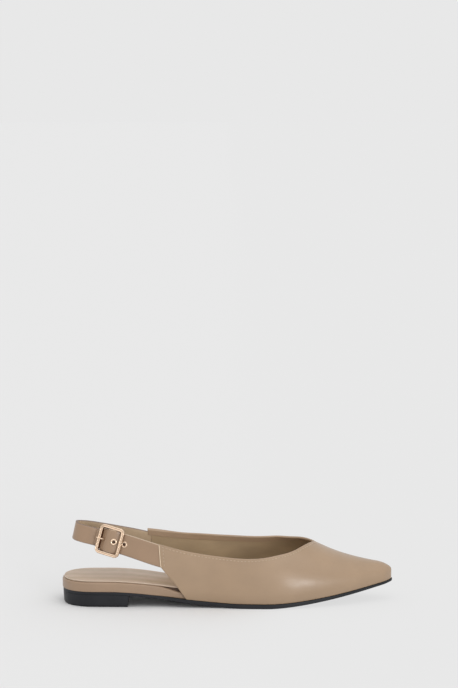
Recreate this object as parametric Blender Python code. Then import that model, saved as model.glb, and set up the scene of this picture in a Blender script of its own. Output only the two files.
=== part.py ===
"""Right sling back flat with a pointed toe: last, sole, upper, sling strap and buckle.

Lengths are in millimetres until a mesh is made. +X runs to the toe, +Y to the inner (medial) side
and +Z up. Stations along the shoe are measured from the back of the footbed, and the frame's origin
is the middle of the heel's resting face on the floor.
"""

import math

import bmesh
import bpy
import numpy as np

MM = 0.001
GAP = 0.3

# The shoe as a whole
SHOE_LENGTH = 269.0
BALL_WIDTH = 65.0
HEEL_WIDTH = 54.0
HEEL_HEIGHT = 10.1
HEEL_LENGTH = 53.4
TOE_SPRING = 15.5
VAMP_HEIGHT = 41.4
SLING_HEIGHT = 66.0

# Sole
OUTSOLE_SEAT = 2.4
OUTSOLE_BALL = 3.6
OUTSOLE_TIP = 2.0
SOLE_EDGE_HEEL = 0.3
SOLE_EDGE_FORE = 0.7
HEEL_TAPER = 0.6
HEEL_BREAST_SLANT = 1.0
OUTSOLE_BEVEL = 0.5
HEEL_BEVEL = 0.7
FOOTBED_SEAT = 7.6
FOOTBED_FORE = 4.2
SOCK = 0.9
SOCK_INSET = 1.3
SOCK_BEVEL = 0.5
FOOTBED_SHOULDER = 1.2
FOOTBED_TUCK = 0.3

# Upper
UPPER_WALL = 1.8
QUARTER_END_WALL = 3.0
WIDEST_RISE = 8.0
FEATHER_TUCK = 2.0
TIP_RADIUS = 6.0
NOSE_REACH = 2.2
NOSE_HEIGHT_SHARE = 0.5
NOSE_RISE_SHARE = 0.6
TUCK_FADES_BELOW = 8.0

# Sling strap and its tongues, which sit in pockets of the quarters
STRAP_THICKNESS = 1.8
STRAP_SKIVED = 1.2
PERFORATED_THICKNESS = 1.6
TONGUE_THICKNESS = 1.0
TONGUE_LENGTH = 9.0
TONGUE_MARGIN = 2.2
TONGUE_RUN = 13.0
POCKET_MOUTH = 3.0
STRAP_FOOT = 0.57
LATERAL_STRAP_HEAD = 1.0
MEDIAL_STRAP_HEAD = 0.95
STRAP_FALL = 0.24
EDGE_EASE = 0.25
FOLD_MARGIN = 0.3
FOLD_ENDS = 14.0
FOLD_FADES = 12.0
STRAP_TIP_TRIMS = (0.7, 2.4)

# Buckle and eyelets
BUCKLE_LENGTH = 21.1
BUCKLE_HEIGHT = 24.2
BUCKLE_BAR = 3.1
BUCKLE_DEPTH = 2.0
BUCKLE_CORNER = 4.0
BUCKLE_EASE = 0.45
BUCKLE_LIFT = 2.8
CENTRE_BAR_RADIUS = 0.8
CENTRE_BAR_LEVEL = -0.6
CENTRE_BAR_BEND = 1.2
PRONG_RADIUS = 0.65
EYELET_PITCH = 8.2
EYELET_RADIUS = 2.7
EYELET_BORE = 1.25
EYELET_BARREL = 1.7
EYELET_RIM = 0.4
EYELET_LIFT = 0.15
PRONG_HOLE_RADIUS = 2.0
PRONG_HOLE_PLACE = -4.6
HOLE_DEPTH = 2.5
SLOT_HALF_WIDTH = 1.2
SLOT_REAR = -6.0
SLOT_FRONT = 3.6
SLOT_FOOT = -5.0
SLOT_HEAD = 2.1

# Places along the shoe, as shares of the footbed's length
BALL_REAR = 0.555
BALL_FRONT = 0.627
SEAT_FRONT = 0.14
THROAT = 0.768
EDGE_GROWS_FROM = 0.27
EDGE_GROWS_TO = 0.39
LATERAL_SEAM = 0.2975
MEDIAL_SEAM = 0.257
HEEL_MOUNT = 0.104
BUCKLE_PLACE = 0.1505

LOWER_SHARE = 0.18
UPPER_MARGIN = UPPER_WALL + GAP
SOLE_MARGIN = UPPER_MARGIN + SOLE_EDGE_FORE
LENGTH = SHOE_LENGTH - SOLE_EDGE_HEEL - SOLE_MARGIN
ORIGIN_X = HEEL_MOUNT * LENGTH
TOE_CURVE = 1.45
HEEL_ROUND_POWER = 2.3
TOE_ROUND_POWER = 2.0

# Footbed outline: share of length, centre and half width as shares of the driving width, and how
# far that width is the heel's (1) rather than the ball's (0).
OUTLINE = [
    (0.000, 0.000, 0.490, 1.0),
    (0.095, -0.012, 0.494, 1.0),
    (0.170, -0.016, 0.500, 1.0),
    (0.226, -0.020, 0.497, 1.0),
    (0.302, -0.032, 0.465, 1.0),
    (0.377, -0.049, 0.400, 0.4),
    (0.453, -0.055, 0.377, 0.1),
    (0.528, -0.038, 0.426, 0.0),
    (0.604, -0.008, 0.480, 0.0),
    (0.679, 0.019, 0.499, 0.0),
    (0.755, 0.041, 0.459, 0.0),
    (0.830, 0.056, 0.375, 0.0),
    (0.906, 0.071, 0.255, 0.0),
    (0.962, 0.081, 0.150, 0.0),
    (1.000, 0.086, 0.080, 0.0),
]

# Crown of the last above the feather line: share of length, height as a share of the vamp's, and
# the widest point's rise and the tuck below it, as shares of theirs.
CROWN = [
    (0.230, 2.200, 0.75, 0.40),
    (0.302, 2.135, 0.80, 0.45),
    (0.355, 2.030, 0.90, 0.55),
    (0.411, 1.957, 1.00, 0.70),
    (0.468, 1.845, 1.05, 0.85),
    (0.525, 1.720, 1.05, 1.00),
    (0.581, 1.580, 1.05, 1.00),
    (0.623, 1.480, 1.05, 1.00),
    (0.666, 1.350, 1.05, 1.00),
    (0.708, 1.210, 1.00, 0.95),
    (0.736, 1.116, 1.00, 0.90),
    (0.768, 1.000, 1.00, 0.85),
    (0.826, 0.780, 0.95, 0.75),
    (0.875, 0.623, 0.85, 0.65),
    (0.925, 0.486, 0.72, 0.50),
    (0.974, 0.372, 0.60, 0.40),
    (1.000, 0.325, 0.50, 0.30),
]

# Topline: share of length, and how open the section is there, as shares of its half width.
LATERAL_TOPLINE = [
    (0.220, 0.895),
    (0.302, 0.899),
    (0.355, 0.903),
    (0.411, 0.907),
    (0.468, 0.901),
    (0.525, 0.888),
    (0.581, 0.866),
    (0.623, 0.831),
    (0.666, 0.759),
    (0.708, 0.625),
    (0.736, 0.432),
    (0.753, 0.242),
    (THROAT, 0.0),
]
MEDIAL_TOPLINE = [
    (0.220, 0.893),
    (0.257, 0.890),
    (0.309, 0.881),
    (0.358, 0.870),
    (0.411, 0.854),
    (0.468, 0.830),
    (0.525, 0.804),
    (0.581, 0.772),
    (0.623, 0.730),
    (0.666, 0.645),
    (0.708, 0.522),
    (0.736, 0.360),
    (0.753, 0.210),
    (THROAT, 0.0),
]

# Rear edge of each quarter: share of the wall's height, and place along the shoe.
LATERAL_REAR = [
    (0.00, 0.3800),
    (0.30, 0.3455),
    (0.52, 0.3115),
    (0.57, 0.3040),
    (0.60, 0.3025),
    (1.00, LATERAL_SEAM),
]
MEDIAL_REAR = [
    (0.00, 0.3800),
    (0.30, 0.3290),
    (0.52, 0.2680),
    (0.58, 0.2600),
    (1.00, MEDIAL_SEAM),
]

# Sling strap behind the quarters, from the back of the heel forward. Upper and lower edge each as
# place along the shoe (share of length), reach sideways (share of heel width) and height (share
# of the sling's height). It starts the same on both sides, and is wider on the outer side from
# the buckle on.
SLING_BACK = [
    ((0.0448, 0.000, 1.000), (0.0323, 0.000, 0.782)),
    ((0.0505, 0.105, 0.990), (0.0388, 0.115, 0.776)),
    ((0.0710, 0.182, 0.974), (0.0590, 0.203, 0.762)),
    ((0.1085, 0.234, 0.945), (0.0945, 0.260, 0.727)),
]
SLING_OUTER = [
    ((0.1517, 0.296, 0.920), (0.1356, 0.328, 0.684)),
    ((0.2024, 0.379, 0.884), (0.1864, 0.409, 0.637)),
]
SLING_INNER = [
    ((0.1507, 0.298, 0.905), (0.1365, 0.326, 0.697)),
]

# Paths in the strap's own section near the buckle: place along the strap from the frame's middle,
# positive towards the toe, and height above the strap's middle layer, as shares of the buckle's
# length.
PERFORATED_PATH = [
    (0.806, 0.000),
    (0.592, 0.000),
    (0.474, 0.002),
    (0.363, 0.016),
    (0.313, 0.036),
    (0.246, 0.076),
    (0.171, 0.116),
    (0.085, 0.140),
    (0.000, 0.145),
    (-0.085, 0.133),
    (-0.171, 0.095),
    (-0.246, 0.055),
    (-0.303, 0.029),
    (-0.360, 0.016),
    (-0.427, 0.009),
    (-0.521, 0.005),
    (-0.616, 0.005),
]
LOOP_UPPER_PATH = [
    (-0.057, 0.047),
    (-0.114, 0.033),
    (-0.180, -0.002),
    (-0.256, -0.040),
    (-0.341, -0.069),
    (-0.427, -0.083),
    (-0.521, -0.090),
    (-0.640, -0.083),
    (-0.735, -0.057),
    (-0.853, -0.019),
    (-0.995, 0.000),
]
LOOP_LOWER_PATH = [
    (-0.853, -0.114),
    (-0.711, -0.147),
    (-0.569, -0.168),
    (-0.427, -0.166),
    (-0.284, -0.149),
    (-0.166, -0.130),
    (-0.066, -0.114),
]
PRONG_PATH = [
    (-0.076, 0.038),
    (-0.142, 0.021),
    (-0.185, 0.036),
    (-0.218, 0.076),
    (-0.251, 0.128),
    (-0.284, 0.175),
    (-0.318, 0.206),
    (-0.365, 0.225),
    (-0.427, 0.227),
    (-0.493, 0.227),
    (-0.531, 0.218),
]

# Rows up the upper's wall, and how many stations run from its rear edge to the throat and to the tip
UPPER_ROWS = [0.0, 0.09, 0.18, 0.27, 0.36, 0.46, 0.56, 0.67, 0.78, 0.89, 1.0]
REAR_STATIONS = 18
FRONT_STATIONS = 16

LEATHER = (0.49, 0.36, 0.26)
LINING = (0.46, 0.38, 0.27)
SOLE_BLACK = (0.018, 0.019, 0.021)
ROSE_GOLD = (0.86, 0.62, 0.46)


def spline(knots, values):
    """Natural cubic through the values at the knots, held at both ends."""
    knots = np.asarray(knots, float)
    values = np.asarray(values, float)
    steps = np.diff(knots)
    count = len(knots)
    system = np.eye(count)
    right = np.zeros(values.shape)
    for k in range(1, count - 1):
        system[k, k - 1 : k + 2] = steps[k - 1], 2 * (steps[k - 1] + steps[k]), steps[k]
        rise = (values[k + 1] - values[k]) / steps[k] - (values[k] - values[k - 1]) / steps[k - 1]
        right[k] = 6 * rise
    bend = np.linalg.solve(system, right)

    def at(x):
        x = min(max(x, knots[0]), knots[-1])
        k = min(int(np.searchsorted(knots, x, side="right")) - 1, count - 2)
        a = (knots[k + 1] - x) / steps[k]
        b = 1 - a
        cubic = (a**3 - a) * bend[k] + (b**3 - b) * bend[k + 1]
        return a * values[k] + b * values[k + 1] + cubic * steps[k] ** 2 / 6

    return at


def column_curves(table):
    """One curve for each column of a table whose first column is the share of length."""
    rows = np.array(table, float)
    return [spline(rows[:, 0], rows[:, k]) for k in range(1, rows.shape[1])]


def smooth_step(t):
    t = min(max(t, 0.0), 1.0)
    return t * t * (3 - 2 * t)


def blend(a, b, t):
    return a + (b - a) * t


CENTRE_OF, HALF_OF, HEEL_PART_OF = column_curves(OUTLINE)
CROWN_OF, RISE_OF, TUCK_OF = column_curves(CROWN)
OPEN_OF = {-1: column_curves(LATERAL_TOPLINE)[0], 1: column_curves(MEDIAL_TOPLINE)[0]}


def rear_edge(side, height_share):
    """Place along the shoe, as a share of length, where a quarter's rear edge runs."""
    table = LATERAL_REAR if side < 0 else MEDIAL_REAR
    return float(np.interp(height_share, [row[0] for row in table], [row[1] for row in table]))


def end_round(distance, reach, power):
    """Grows from 0 at an outline's end to 1 where its round end meets the side."""
    t = min(max(distance / reach, 0.0), 1.0)
    return (1 - (1 - t) ** power) ** (1 / power)


def outline(x, margin=0.0, end_margin=None):
    """Centre and half width of the footbed's outline, grown by a margin all round."""
    ends = margin if end_margin is None else end_margin
    share = x / LENGTH
    heel_part = min(max(HEEL_PART_OF(share), 0.0), 1.0)
    width = blend(BALL_WIDTH, HEEL_WIDTH, heel_part)
    heel = end_round(x + ends, HEEL_WIDTH / 2 + ends, HEEL_ROUND_POWER)
    toe = end_round(LENGTH + ends - x, TIP_RADIUS + ends, TOE_ROUND_POWER)
    return CENTRE_OF(share) * width, (HALF_OF(share) * width + margin) * heel * toe


def sole_bottom(x):
    """Underside of the outsole: heel seat, arch, a flat tread at the ball, and toe spring."""
    front = BALL_FRONT * LENGTH
    rear = BALL_REAR * LENGTH
    if x > front:
        return TOE_SPRING * ((x - front) / (LENGTH + SOLE_MARGIN - front)) ** TOE_CURVE
    return HEEL_HEIGHT * smooth_step((rear - x) / (rear - SEAT_FRONT * LENGTH))


def outsole_thickness(x):
    share = x / LENGTH
    if share < BALL_FRONT:
        grown = smooth_step((share - EDGE_GROWS_FROM) / (BALL_REAR - EDGE_GROWS_FROM))
        return blend(OUTSOLE_SEAT, OUTSOLE_BALL, grown)
    return blend(OUTSOLE_BALL, OUTSOLE_TIP, (share - BALL_FRONT) / (1 - BALL_FRONT))


def feather(x):
    """Height at which footbed and upper begin, just above the outsole."""
    return sole_bottom(x) + outsole_thickness(x) + GAP


def footbed_top(x):
    thinned = smooth_step((x / LENGTH - EDGE_GROWS_TO) / (BALL_FRONT - EDGE_GROWS_TO))
    return feather(x) + blend(FOOTBED_SEAT, FOOTBED_FORE, thinned)


def edge_growth(x):
    """0 where the sole is flush with the footbed, 1 where it carries the upper too."""
    share = x / LENGTH
    return smooth_step((share - EDGE_GROWS_FROM) / (EDGE_GROWS_TO - EDGE_GROWS_FROM))


def section_point(x, side, height_share, inset=0.0):
    """Point on the upper's outer surface, or that far inside it, at a station.

    height_share runs from 0 at the feather line to 1 at the topline, or the ridge of the vamp.
    """
    share = x / LENGTH
    margin = UPPER_MARGIN - inset
    centre, half = outline(x, margin)
    base = feather(x)
    nose = end_round(LENGTH + margin - x, NOSE_REACH * TIP_RADIUS, TOE_ROUND_POWER)
    height = CROWN_OF(share) * VAMP_HEIGHT * blend(NOSE_HEIGHT_SHARE, 1.0, nose) - inset
    rise = RISE_OF(share) * WIDEST_RISE * blend(NOSE_RISE_SHARE, 1.0, nose)
    tuck = TUCK_OF(share) * FEATHER_TUCK * min(1.0, half / TUCK_FADES_BELOW)
    widest = half + tuck
    opening = OPEN_OF[side](share) if share < THROAT else 0.0
    top_angle = math.acos(min(max(opening, 0.0), 1.0))
    top = rise + (height - rise) * math.sin(top_angle)
    if height_share <= LOWER_SHARE:
        t = height_share / LOWER_SHARE
        reach = widest - tuck * (1 - t) ** 2
        z = rise * t
    else:
        t = (height_share - LOWER_SHARE) / (1 - LOWER_SHARE)
        angle = top_angle * t
        reach = widest * math.cos(angle)
        z = rise + (height - rise) * math.sin(angle)
    return np.array([x, centre + side * reach, base + min(z, top)])


def share_at_height(x, side, z):
    """Share of the wall's height at which it reaches a level."""
    low, high = 0.0, 1.0
    for _ in range(30):
        middle = (low + high) / 2
        if section_point(x, side, middle)[2] < z:
            low = middle
        else:
            high = middle
    return (low + high) / 2


def wall_thickness(x, side):
    """Leather and lining, thicker where the quarter's end holds the strap's tongue."""
    seam = (LATERAL_SEAM if side < 0 else MEDIAL_SEAM) * LENGTH
    past = (x - seam - TONGUE_LENGTH) / (2 * TONGUE_LENGTH)
    return blend(QUARTER_END_WALL, UPPER_WALL, smooth_step(past))


def place(point):
    """From stations along the shoe to the frame, in metres."""
    return ((point[0] - ORIGIN_X) * MM, point[1] * MM, point[2] * MM)


class Shape:
    """Points in millimetres and faces, made into one closed object."""

    def __init__(self):
        self.points = []
        self.faces = []

    def add_row(self, points):
        start = len(self.points)
        self.points.extend(points)
        return list(range(start, start + len(points)))

    def bridge(self, first, second, closed=False):
        count = len(first) if closed else len(first) - 1
        for k in range(count):
            n = (k + 1) % len(first)
            self.faces.append((first[k], first[n], second[n], second[k]))

    def fill(self, ring):
        self.faces.append(tuple(ring))

    def make(self, name, material, smooth_angle=35.0, cutter=False):
        mesh = bpy.data.meshes.new(name)
        mesh.from_pydata([place(p) for p in self.points], [], self.faces)
        work = bmesh.new()
        work.from_mesh(mesh)
        bmesh.ops.remove_doubles(work, verts=work.verts, dist=0.002 * MM)
        bmesh.ops.dissolve_degenerate(work, edges=work.edges, dist=0.002 * MM)
        bmesh.ops.recalc_face_normals(work, faces=work.faces)
        if work.calc_volume(signed=True) < 0:
            bmesh.ops.reverse_faces(work, faces=work.faces)
        work.to_mesh(mesh)
        work.free()
        mesh.materials.append(material)
        mesh.shade_smooth()
        mesh.set_sharp_from_angle(angle=math.radians(smooth_angle))
        piece = bpy.data.objects.new(name, mesh)
        bpy.context.scene.collection.objects.link(piece)
        if cutter:
            piece.hide_render = True
            piece.display_type = "WIRE"
        return piece


def material(name, colour, roughness, metallic=0.0):
    made = bpy.data.materials.new(name)
    made.use_nodes = True
    shader = made.node_tree.nodes["Principled BSDF"]
    shader.inputs["Base Color"].default_value = (*colour, 1)
    shader.inputs["Roughness"].default_value = roughness
    shader.inputs["Metallic"].default_value = metallic
    return made


def cut(piece, cutter):
    """Takes a cutter out of a piece with a Boolean."""
    boolean = piece.modifiers.new("cut_" + cutter.name, "BOOLEAN")
    boolean.operation = "DIFFERENCE"
    boolean.solver = "EXACT"
    boolean.object = cutter


def join(piece, other):
    boolean = piece.modifiers.new("join_" + other.name, "BOOLEAN")
    boolean.operation = "UNION"
    boolean.solver = "EXACT"
    boolean.object = other


def clustered(count, start=1.0, end=1.0):
    """Shares from 0 to 1 that crowd towards an end as its power grows past 1."""
    shares = []
    for k in range(count + 1):
        t = k / count
        low = t**start
        high = 1 - (1 - t) ** end
        shares.append(blend(low, high, t))
    return shares


def slab(name, finish, rows, stations, columns=6, flat_front=None):
    """A lens of sole: an outline lofted through side rows of (margin at x, height at x).

    The first row is the edge of the underside and the last the edge of the top. The toe end
    comes to a point, or to a flat face at flat_front.
    """
    shape = Shape()
    rings = []
    for share in stations:
        sides = {-1: [], 1: []}
        for margin_at, height_at in rows:
            start = -margin_at(0.0)
            finish_x = LENGTH + margin_at(LENGTH) if flat_front is None else flat_front(height_at)
            x = blend(start, finish_x, share)
            end_margin = margin_at(0.0) if x < LENGTH / 2 else margin_at(LENGTH)
            centre, half = outline(x, margin_at(x), end_margin)
            for side in (-1, 1):
                sides[side].append(np.array([x, centre + side * half, height_at(x)]))
        under = [blend(sides[-1][0], sides[1][0], k / columns) for k in range(1, columns)]
        over = [blend(sides[1][-1], sides[-1][-1], k / columns) for k in range(1, columns)]
        rings.append(shape.add_row(sides[-1][::-1] + under + sides[1] + over))
    for first, second in zip(rings, rings[1:]):
        shape.bridge(first, second, closed=True)
    if flat_front is not None:
        shape.fill(rings[-1])
    return shape.make(name, finish)


def constant(value):
    return lambda x: value


def raised(height_at, rise):
    return lambda x: height_at(x) + rise


def outsole_margin(inset=0.0):
    return lambda x: blend(SOLE_EDGE_HEEL, SOLE_MARGIN, edge_growth(x)) - inset


def outsole_top(x):
    return sole_bottom(x) + outsole_thickness(x)


def build_outsole(finish):
    rows = [
        (outsole_margin(OUTSOLE_BEVEL), sole_bottom),
        (outsole_margin(), raised(sole_bottom, OUTSOLE_BEVEL)),
        (outsole_margin(), outsole_top),
    ]
    return slab("outsole", finish, rows, ball_stations())


def ball_stations():
    """Stations from heel to toe, with one on each end of the flat tread at the ball."""
    length = LENGTH + SOLE_MARGIN + SOLE_EDGE_HEEL
    marks = [0.0, BALL_REAR * LENGTH / length, BALL_FRONT * LENGTH / length, 1.0]
    rear = [marks[1] * s for s in clustered(18, start=1.9)]
    tread = [blend(marks[1], marks[2], s) for s in (0.33, 0.67)]
    front = [blend(marks[2], marks[3], s) for s in clustered(16, end=1.9)]
    return rear + tread + front


def build_heel(finish):
    top = HEEL_HEIGHT - GAP

    def front(height_at):
        return HEEL_LENGTH + HEEL_BREAST_SLANT * min(1.0, height_at(HEEL_LENGTH) / top)

    rows = [
        (constant(SOLE_EDGE_HEEL - HEEL_TAPER - HEEL_BEVEL), constant(0.0)),
        (constant(SOLE_EDGE_HEEL - HEEL_TAPER), constant(HEEL_BEVEL)),
        (constant(SOLE_EDGE_HEEL), raised(sole_bottom, -GAP)),
    ]
    return slab("heel", finish, rows, clustered(16, start=1.9), columns=4, flat_front=front)


def build_footbed(finish):
    rounding = FOOTBED_SHOULDER * (1 - math.sqrt(0.5))
    rows = [
        (constant(-FOOTBED_TUCK), feather),
        (constant(0.0), raised(feather, FOOTBED_SHOULDER)),
        (constant(0.0), raised(footbed_top, -FOOTBED_SHOULDER)),
        (constant(-rounding), raised(footbed_top, -rounding)),
        (constant(-FOOTBED_SHOULDER), footbed_top),
    ]
    return slab("footbed", finish, rows, both_ends(34))


def both_ends(count):
    rear = [0.5 * s for s in clustered(count // 2, start=1.9)]
    front = [0.5 + 0.5 * s for s in clustered(count // 2, end=1.9)]
    return rear + front[1:]


def build_sock(finish):
    rows = [
        (constant(-SOCK_INSET), raised(footbed_top, GAP)),
        (constant(-SOCK_INSET), raised(footbed_top, GAP + SOCK - SOCK_BEVEL)),
        (constant(-SOCK_INSET - SOCK_BEVEL), raised(footbed_top, GAP + SOCK)),
    ]
    return slab("sock", finish, rows, both_ends(32))


QUARTER_SHARES = clustered(REAR_STATIONS, end=1.35)
VAMP_SHARES = clustered(FRONT_STATIONS, end=2.0)


def upper_x(side, row, station, inset):
    """Place along the shoe of a station, which starts on the quarter's rear edge."""
    throat = THROAT * LENGTH
    if station <= REAR_STATIONS:
        rear = rear_edge(side, row) * LENGTH
        return blend(rear, throat, QUARTER_SHARES[station])
    tip = LENGTH + UPPER_MARGIN - inset
    return blend(throat, tip, VAMP_SHARES[station - REAR_STATIONS])


def upper_side(shape, side, inner):
    """Rows of one half of the upper's outer or inner face, from feather line to top."""
    lines = []
    for row in UPPER_ROWS:
        points = []
        for station in range(REAR_STATIONS + FRONT_STATIONS + 1):
            x = upper_x(side, row, station, 0.0)
            inset = wall_thickness(x, side) if inner else 0.0
            x = upper_x(side, row, station, min(inset, UPPER_WALL))
            points.append(section_point(x, side, row, inset))
        lines.append(shape.add_row(points))
    return lines


def build_upper(finish):
    """One hollow wall: both quarters and the vamp, open at topline, rear and underneath."""
    shape = Shape()
    for side in (-1, 1):
        outer = upper_side(shape, side, inner=False)
        inner = upper_side(shape, side, inner=True)
        for lines in (outer, inner):
            for first, second in zip(lines, lines[1:]):
                shape.bridge(first, second)
        shape.bridge(outer[0], inner[0])
        shape.bridge(outer[-1][: REAR_STATIONS + 1], inner[-1][: REAR_STATIONS + 1])
        shape.bridge([line[0] for line in outer], [line[0] for line in inner])
    return shape.make("upper", finish)


def wall_point(x, side, z):
    """Point in the middle of the quarter's end wall at a place and level."""
    row = share_at_height(x, side, z)
    outer = section_point(x, side, row)
    inner = section_point(x, side, row, QUARTER_END_WALL)
    return (outer + inner) / 2


class Strap:
    """The strap's middle layer: a ruled surface between its two edges, by length along it.

    Lengths run from inside the outer quarter, round the heel, to inside the inner quarter.
    """

    def __init__(self):
        knots = strap_knots()
        middles = [(upper + lower) / 2 for upper, lower in knots]
        places = [0.0]
        for first, second in zip(middles, middles[1:]):
            places.append(places[-1] + float(np.linalg.norm(second - first)))
        self.upper = spline(places, [upper for upper, lower in knots])
        self.lower = spline(places, [lower for upper, lower in knots])
        self.end = places[-1]
        self.lateral_seam = places[1]
        self.medial_seam = places[-2]
        self.back = places[1 + len(SLING_OUTER) + len(SLING_BACK)]
        self.buckle = self.station_at(BUCKLE_PLACE * LENGTH)

    def middle(self, s):
        return (self.upper(s) + self.lower(s)) / 2

    def station_at(self, x):
        """Length along the strap at which its outer-side run reaches a place along the shoe."""
        low, high = 0.0, self.back
        for _ in range(40):
            half_way = (low + high) / 2
            if self.middle(half_way)[0] > x:
                low = half_way
            else:
                high = half_way
        return (low + high) / 2

    def frame(self, s):
        """Middle point, direction towards the toe, outward, up its width, and the width."""
        step = 0.5
        ahead = self.middle(max(s - step, 0.0)) - self.middle(min(s + step, self.end))
        along = ahead / np.linalg.norm(ahead)
        across = self.upper(s) - self.lower(s)
        across = across - along * across.dot(along)
        width = np.linalg.norm(across)
        across = across / width
        return self.middle(s), along, np.cross(along, across), across, width

    def square_frame(self, s):
        """Middle point, direction towards the toe, outward and up, squared to the ruled edges."""
        middle, along, outward, across, width = self.frame(s)
        rise = self.upper(s) - self.lower(s)
        up = rise / np.linalg.norm(rise)
        return middle, np.cross(up, outward), outward, up

    def point(self, s, level, width_share, extra):
        """Point at a length along, a level outward and a share of the half width."""
        middle, along, outward, across, width = self.frame(s)
        edge = (self.upper(s) - self.lower(s)) / 2
        return middle + outward * level + edge * width_share * (1 + 2 * extra / width)


def strap_knots():
    """Upper and lower edge of the strap at each knot, from outer quarter to inner quarter."""

    def from_table(entry, side):
        share, reach, height = entry
        return np.array([share * LENGTH, side * reach * HEEL_WIDTH, height * SLING_HEIGHT])

    def quarter_end(side, seam_share, head):
        seam = seam_share * LENGTH
        levels = [section_point(seam, side, row)[2] for row in (head, STRAP_FOOT)]
        knots = []
        for past in (TONGUE_RUN, 0.0):
            knots.append([wall_point(seam + past, side, z - STRAP_FALL * past) for z in levels])
        return knots

    outer_rows = SLING_OUTER[::-1] + SLING_BACK[::-1]
    inner_rows = SLING_BACK[1:] + SLING_INNER
    outer_run = [[from_table(entry, -1) for entry in row] for row in outer_rows]
    inner_run = [[from_table(entry, 1) for entry in row] for row in inner_rows]
    outer_end = quarter_end(-1, LATERAL_SEAM, LATERAL_STRAP_HEAD)
    inner_end = quarter_end(1, MEDIAL_SEAM, MEDIAL_STRAP_HEAD)
    return outer_end + outer_run + inner_run + inner_end[::-1]


def path_samples(points, spacing):
    """Smooth path through chosen points, sampled at about that spacing."""
    places = [0.0]
    for first, second in zip(points, points[1:]):
        places.append(places[-1] + math.dist(first, second))
    curve = spline(places, [np.array(p, float) for p in points])
    count = max(2, round(places[-1] / spacing))
    return [tuple(curve(places[-1] * k / count)) for k in range(count + 1)]


def arc(centre, radius, start, stop, count):
    """Points round a centre in the strap's section, by angles in degrees."""
    points = []
    for k in range(count + 1):
        angle = math.radians(blend(start, stop, k / count))
        points.append((centre[0] + radius * math.cos(angle), centre[1] + radius * math.sin(angle)))
    return points


def layer_faces(path, thicknesses):
    """Upper and under faces of a layer that follows a path in the strap's section."""
    faces = []
    for k, (s, level) in enumerate(path):
        before = path[max(k - 1, 0)]
        after = path[min(k + 1, len(path) - 1)]
        along = np.array([after[0] - before[0], after[1] - before[1]])
        along /= np.linalg.norm(along)
        normal = np.array([-along[1], along[0]]) * thicknesses[k] / 2
        middle = np.array([s, level])
        faces.append((middle + normal, middle - normal))
    return faces


def add_layer(shape, strap, path, thicknesses, extras):
    """Rings of a layer with eased edges, along a path of (length along, level)."""
    rings = []
    for (high, low), extra in zip(layer_faces(path, thicknesses), extras):
        eased_high = blend(high, low, 0.2)
        eased_low = blend(high, low, 0.8)
        corners = [
            (high, -1, EDGE_EASE),
            (high, 0, 0),
            (high, 1, EDGE_EASE),
            (eased_high, 1, 0),
            (eased_low, 1, 0),
            (low, 1, EDGE_EASE),
            (low, 0, 0),
            (low, -1, EDGE_EASE),
            (eased_low, -1, 0),
            (eased_high, -1, 0),
        ]
        ring = [strap.point(at[0], at[1], share, extra - trim) for at, share, trim in corners]
        rings.append(shape.add_row(ring))
    return rings


def close_rings(shape, rings):
    """Skin over rings in order, with a face at each end."""
    for first, second in zip(rings, rings[1:]):
        shape.bridge(first, second, closed=True)
    shape.fill(rings[0])
    shape.fill(rings[-1])


def tongue(strap, seam, into, clearance):
    """Path, thicknesses and width changes of the tongue inside a quarter, or of its pocket."""
    start = seam + into * (TONGUE_LENGTH + clearance)
    stop = seam - into * (GAP if clearance == 0 else POCKET_MOUTH)
    path = [(blend(start, stop, k / 3), 0.0) for k in range(4)]
    thickness = TONGUE_THICKNESS + 2 * clearance
    return path, [thickness] * 4, [clearance - TONGUE_MARGIN] * 4


def cut_pocket(upper, strap, side):
    """Cuts the room for the strap's tongue into a quarter's end."""
    seam, into = (strap.lateral_seam, -1) if side < 0 else (strap.medial_seam, 1)
    shape = Shape()
    path, thicknesses, extras = tongue(strap, seam, into, GAP)
    close_rings(shape, add_layer(shape, strap, path, thicknesses, extras))
    name = "pocket_outer" if side < 0 else "pocket_inner"
    cut(upper, shape.make(name, upper.data.materials[0], cutter=True))


def in_lengths(path):
    """A path table's shares as lengths."""
    return [(u * BUCKLE_LENGTH, level * BUCKLE_LENGTH) for u, level in path]


def along_strap(strap, path):
    """A path written from the buckle's middle, as lengths along the strap."""
    return [(strap.buckle - u, level) for u, level in path]


def build_front_strap(strap, finish):
    """Perforated strap: a tongue in the outer quarter, then under, over and under the buckle."""
    shape = Shape()
    rings = add_layer(shape, strap, *tongue(strap, strap.lateral_seam, -1, 0))
    near = along_strap(strap, path_samples(in_lengths(PERFORATED_PATH), 1.5))
    start = strap.lateral_seam + GAP
    count = 9
    path = [(blend(start, near[0][0], k / count), 0.0) for k in range(count)] + near
    thinned = [min(k / count, 1) for k in range(len(path))]
    thicknesses = [blend(STRAP_THICKNESS, PERFORATED_THICKNESS, t) for t in thinned]
    extras = [0.0] * (len(path) - len(STRAP_TIP_TRIMS)) + [-trim for trim in STRAP_TIP_TRIMS]
    rings += add_layer(shape, strap, path, thicknesses, extras)
    close_rings(shape, rings)
    piece = shape.make("front_strap", finish)
    for number in range(3):
        u = PRONG_HOLE_PLACE + number * EYELET_PITCH
        radius = PRONG_HOLE_RADIUS if number == 0 else EYELET_BARREL + GAP
        axis = layer_axis(strap, u)
        hole = Shape()
        levels = (-HOLE_DEPTH, HOLE_DEPTH)
        close_rings(hole, [ring_round(hole, axis, radius, level, 14) for level in levels])
        cut(piece, hole.make("hole_" + str(number), finish, cutter=True))
    return piece


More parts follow.
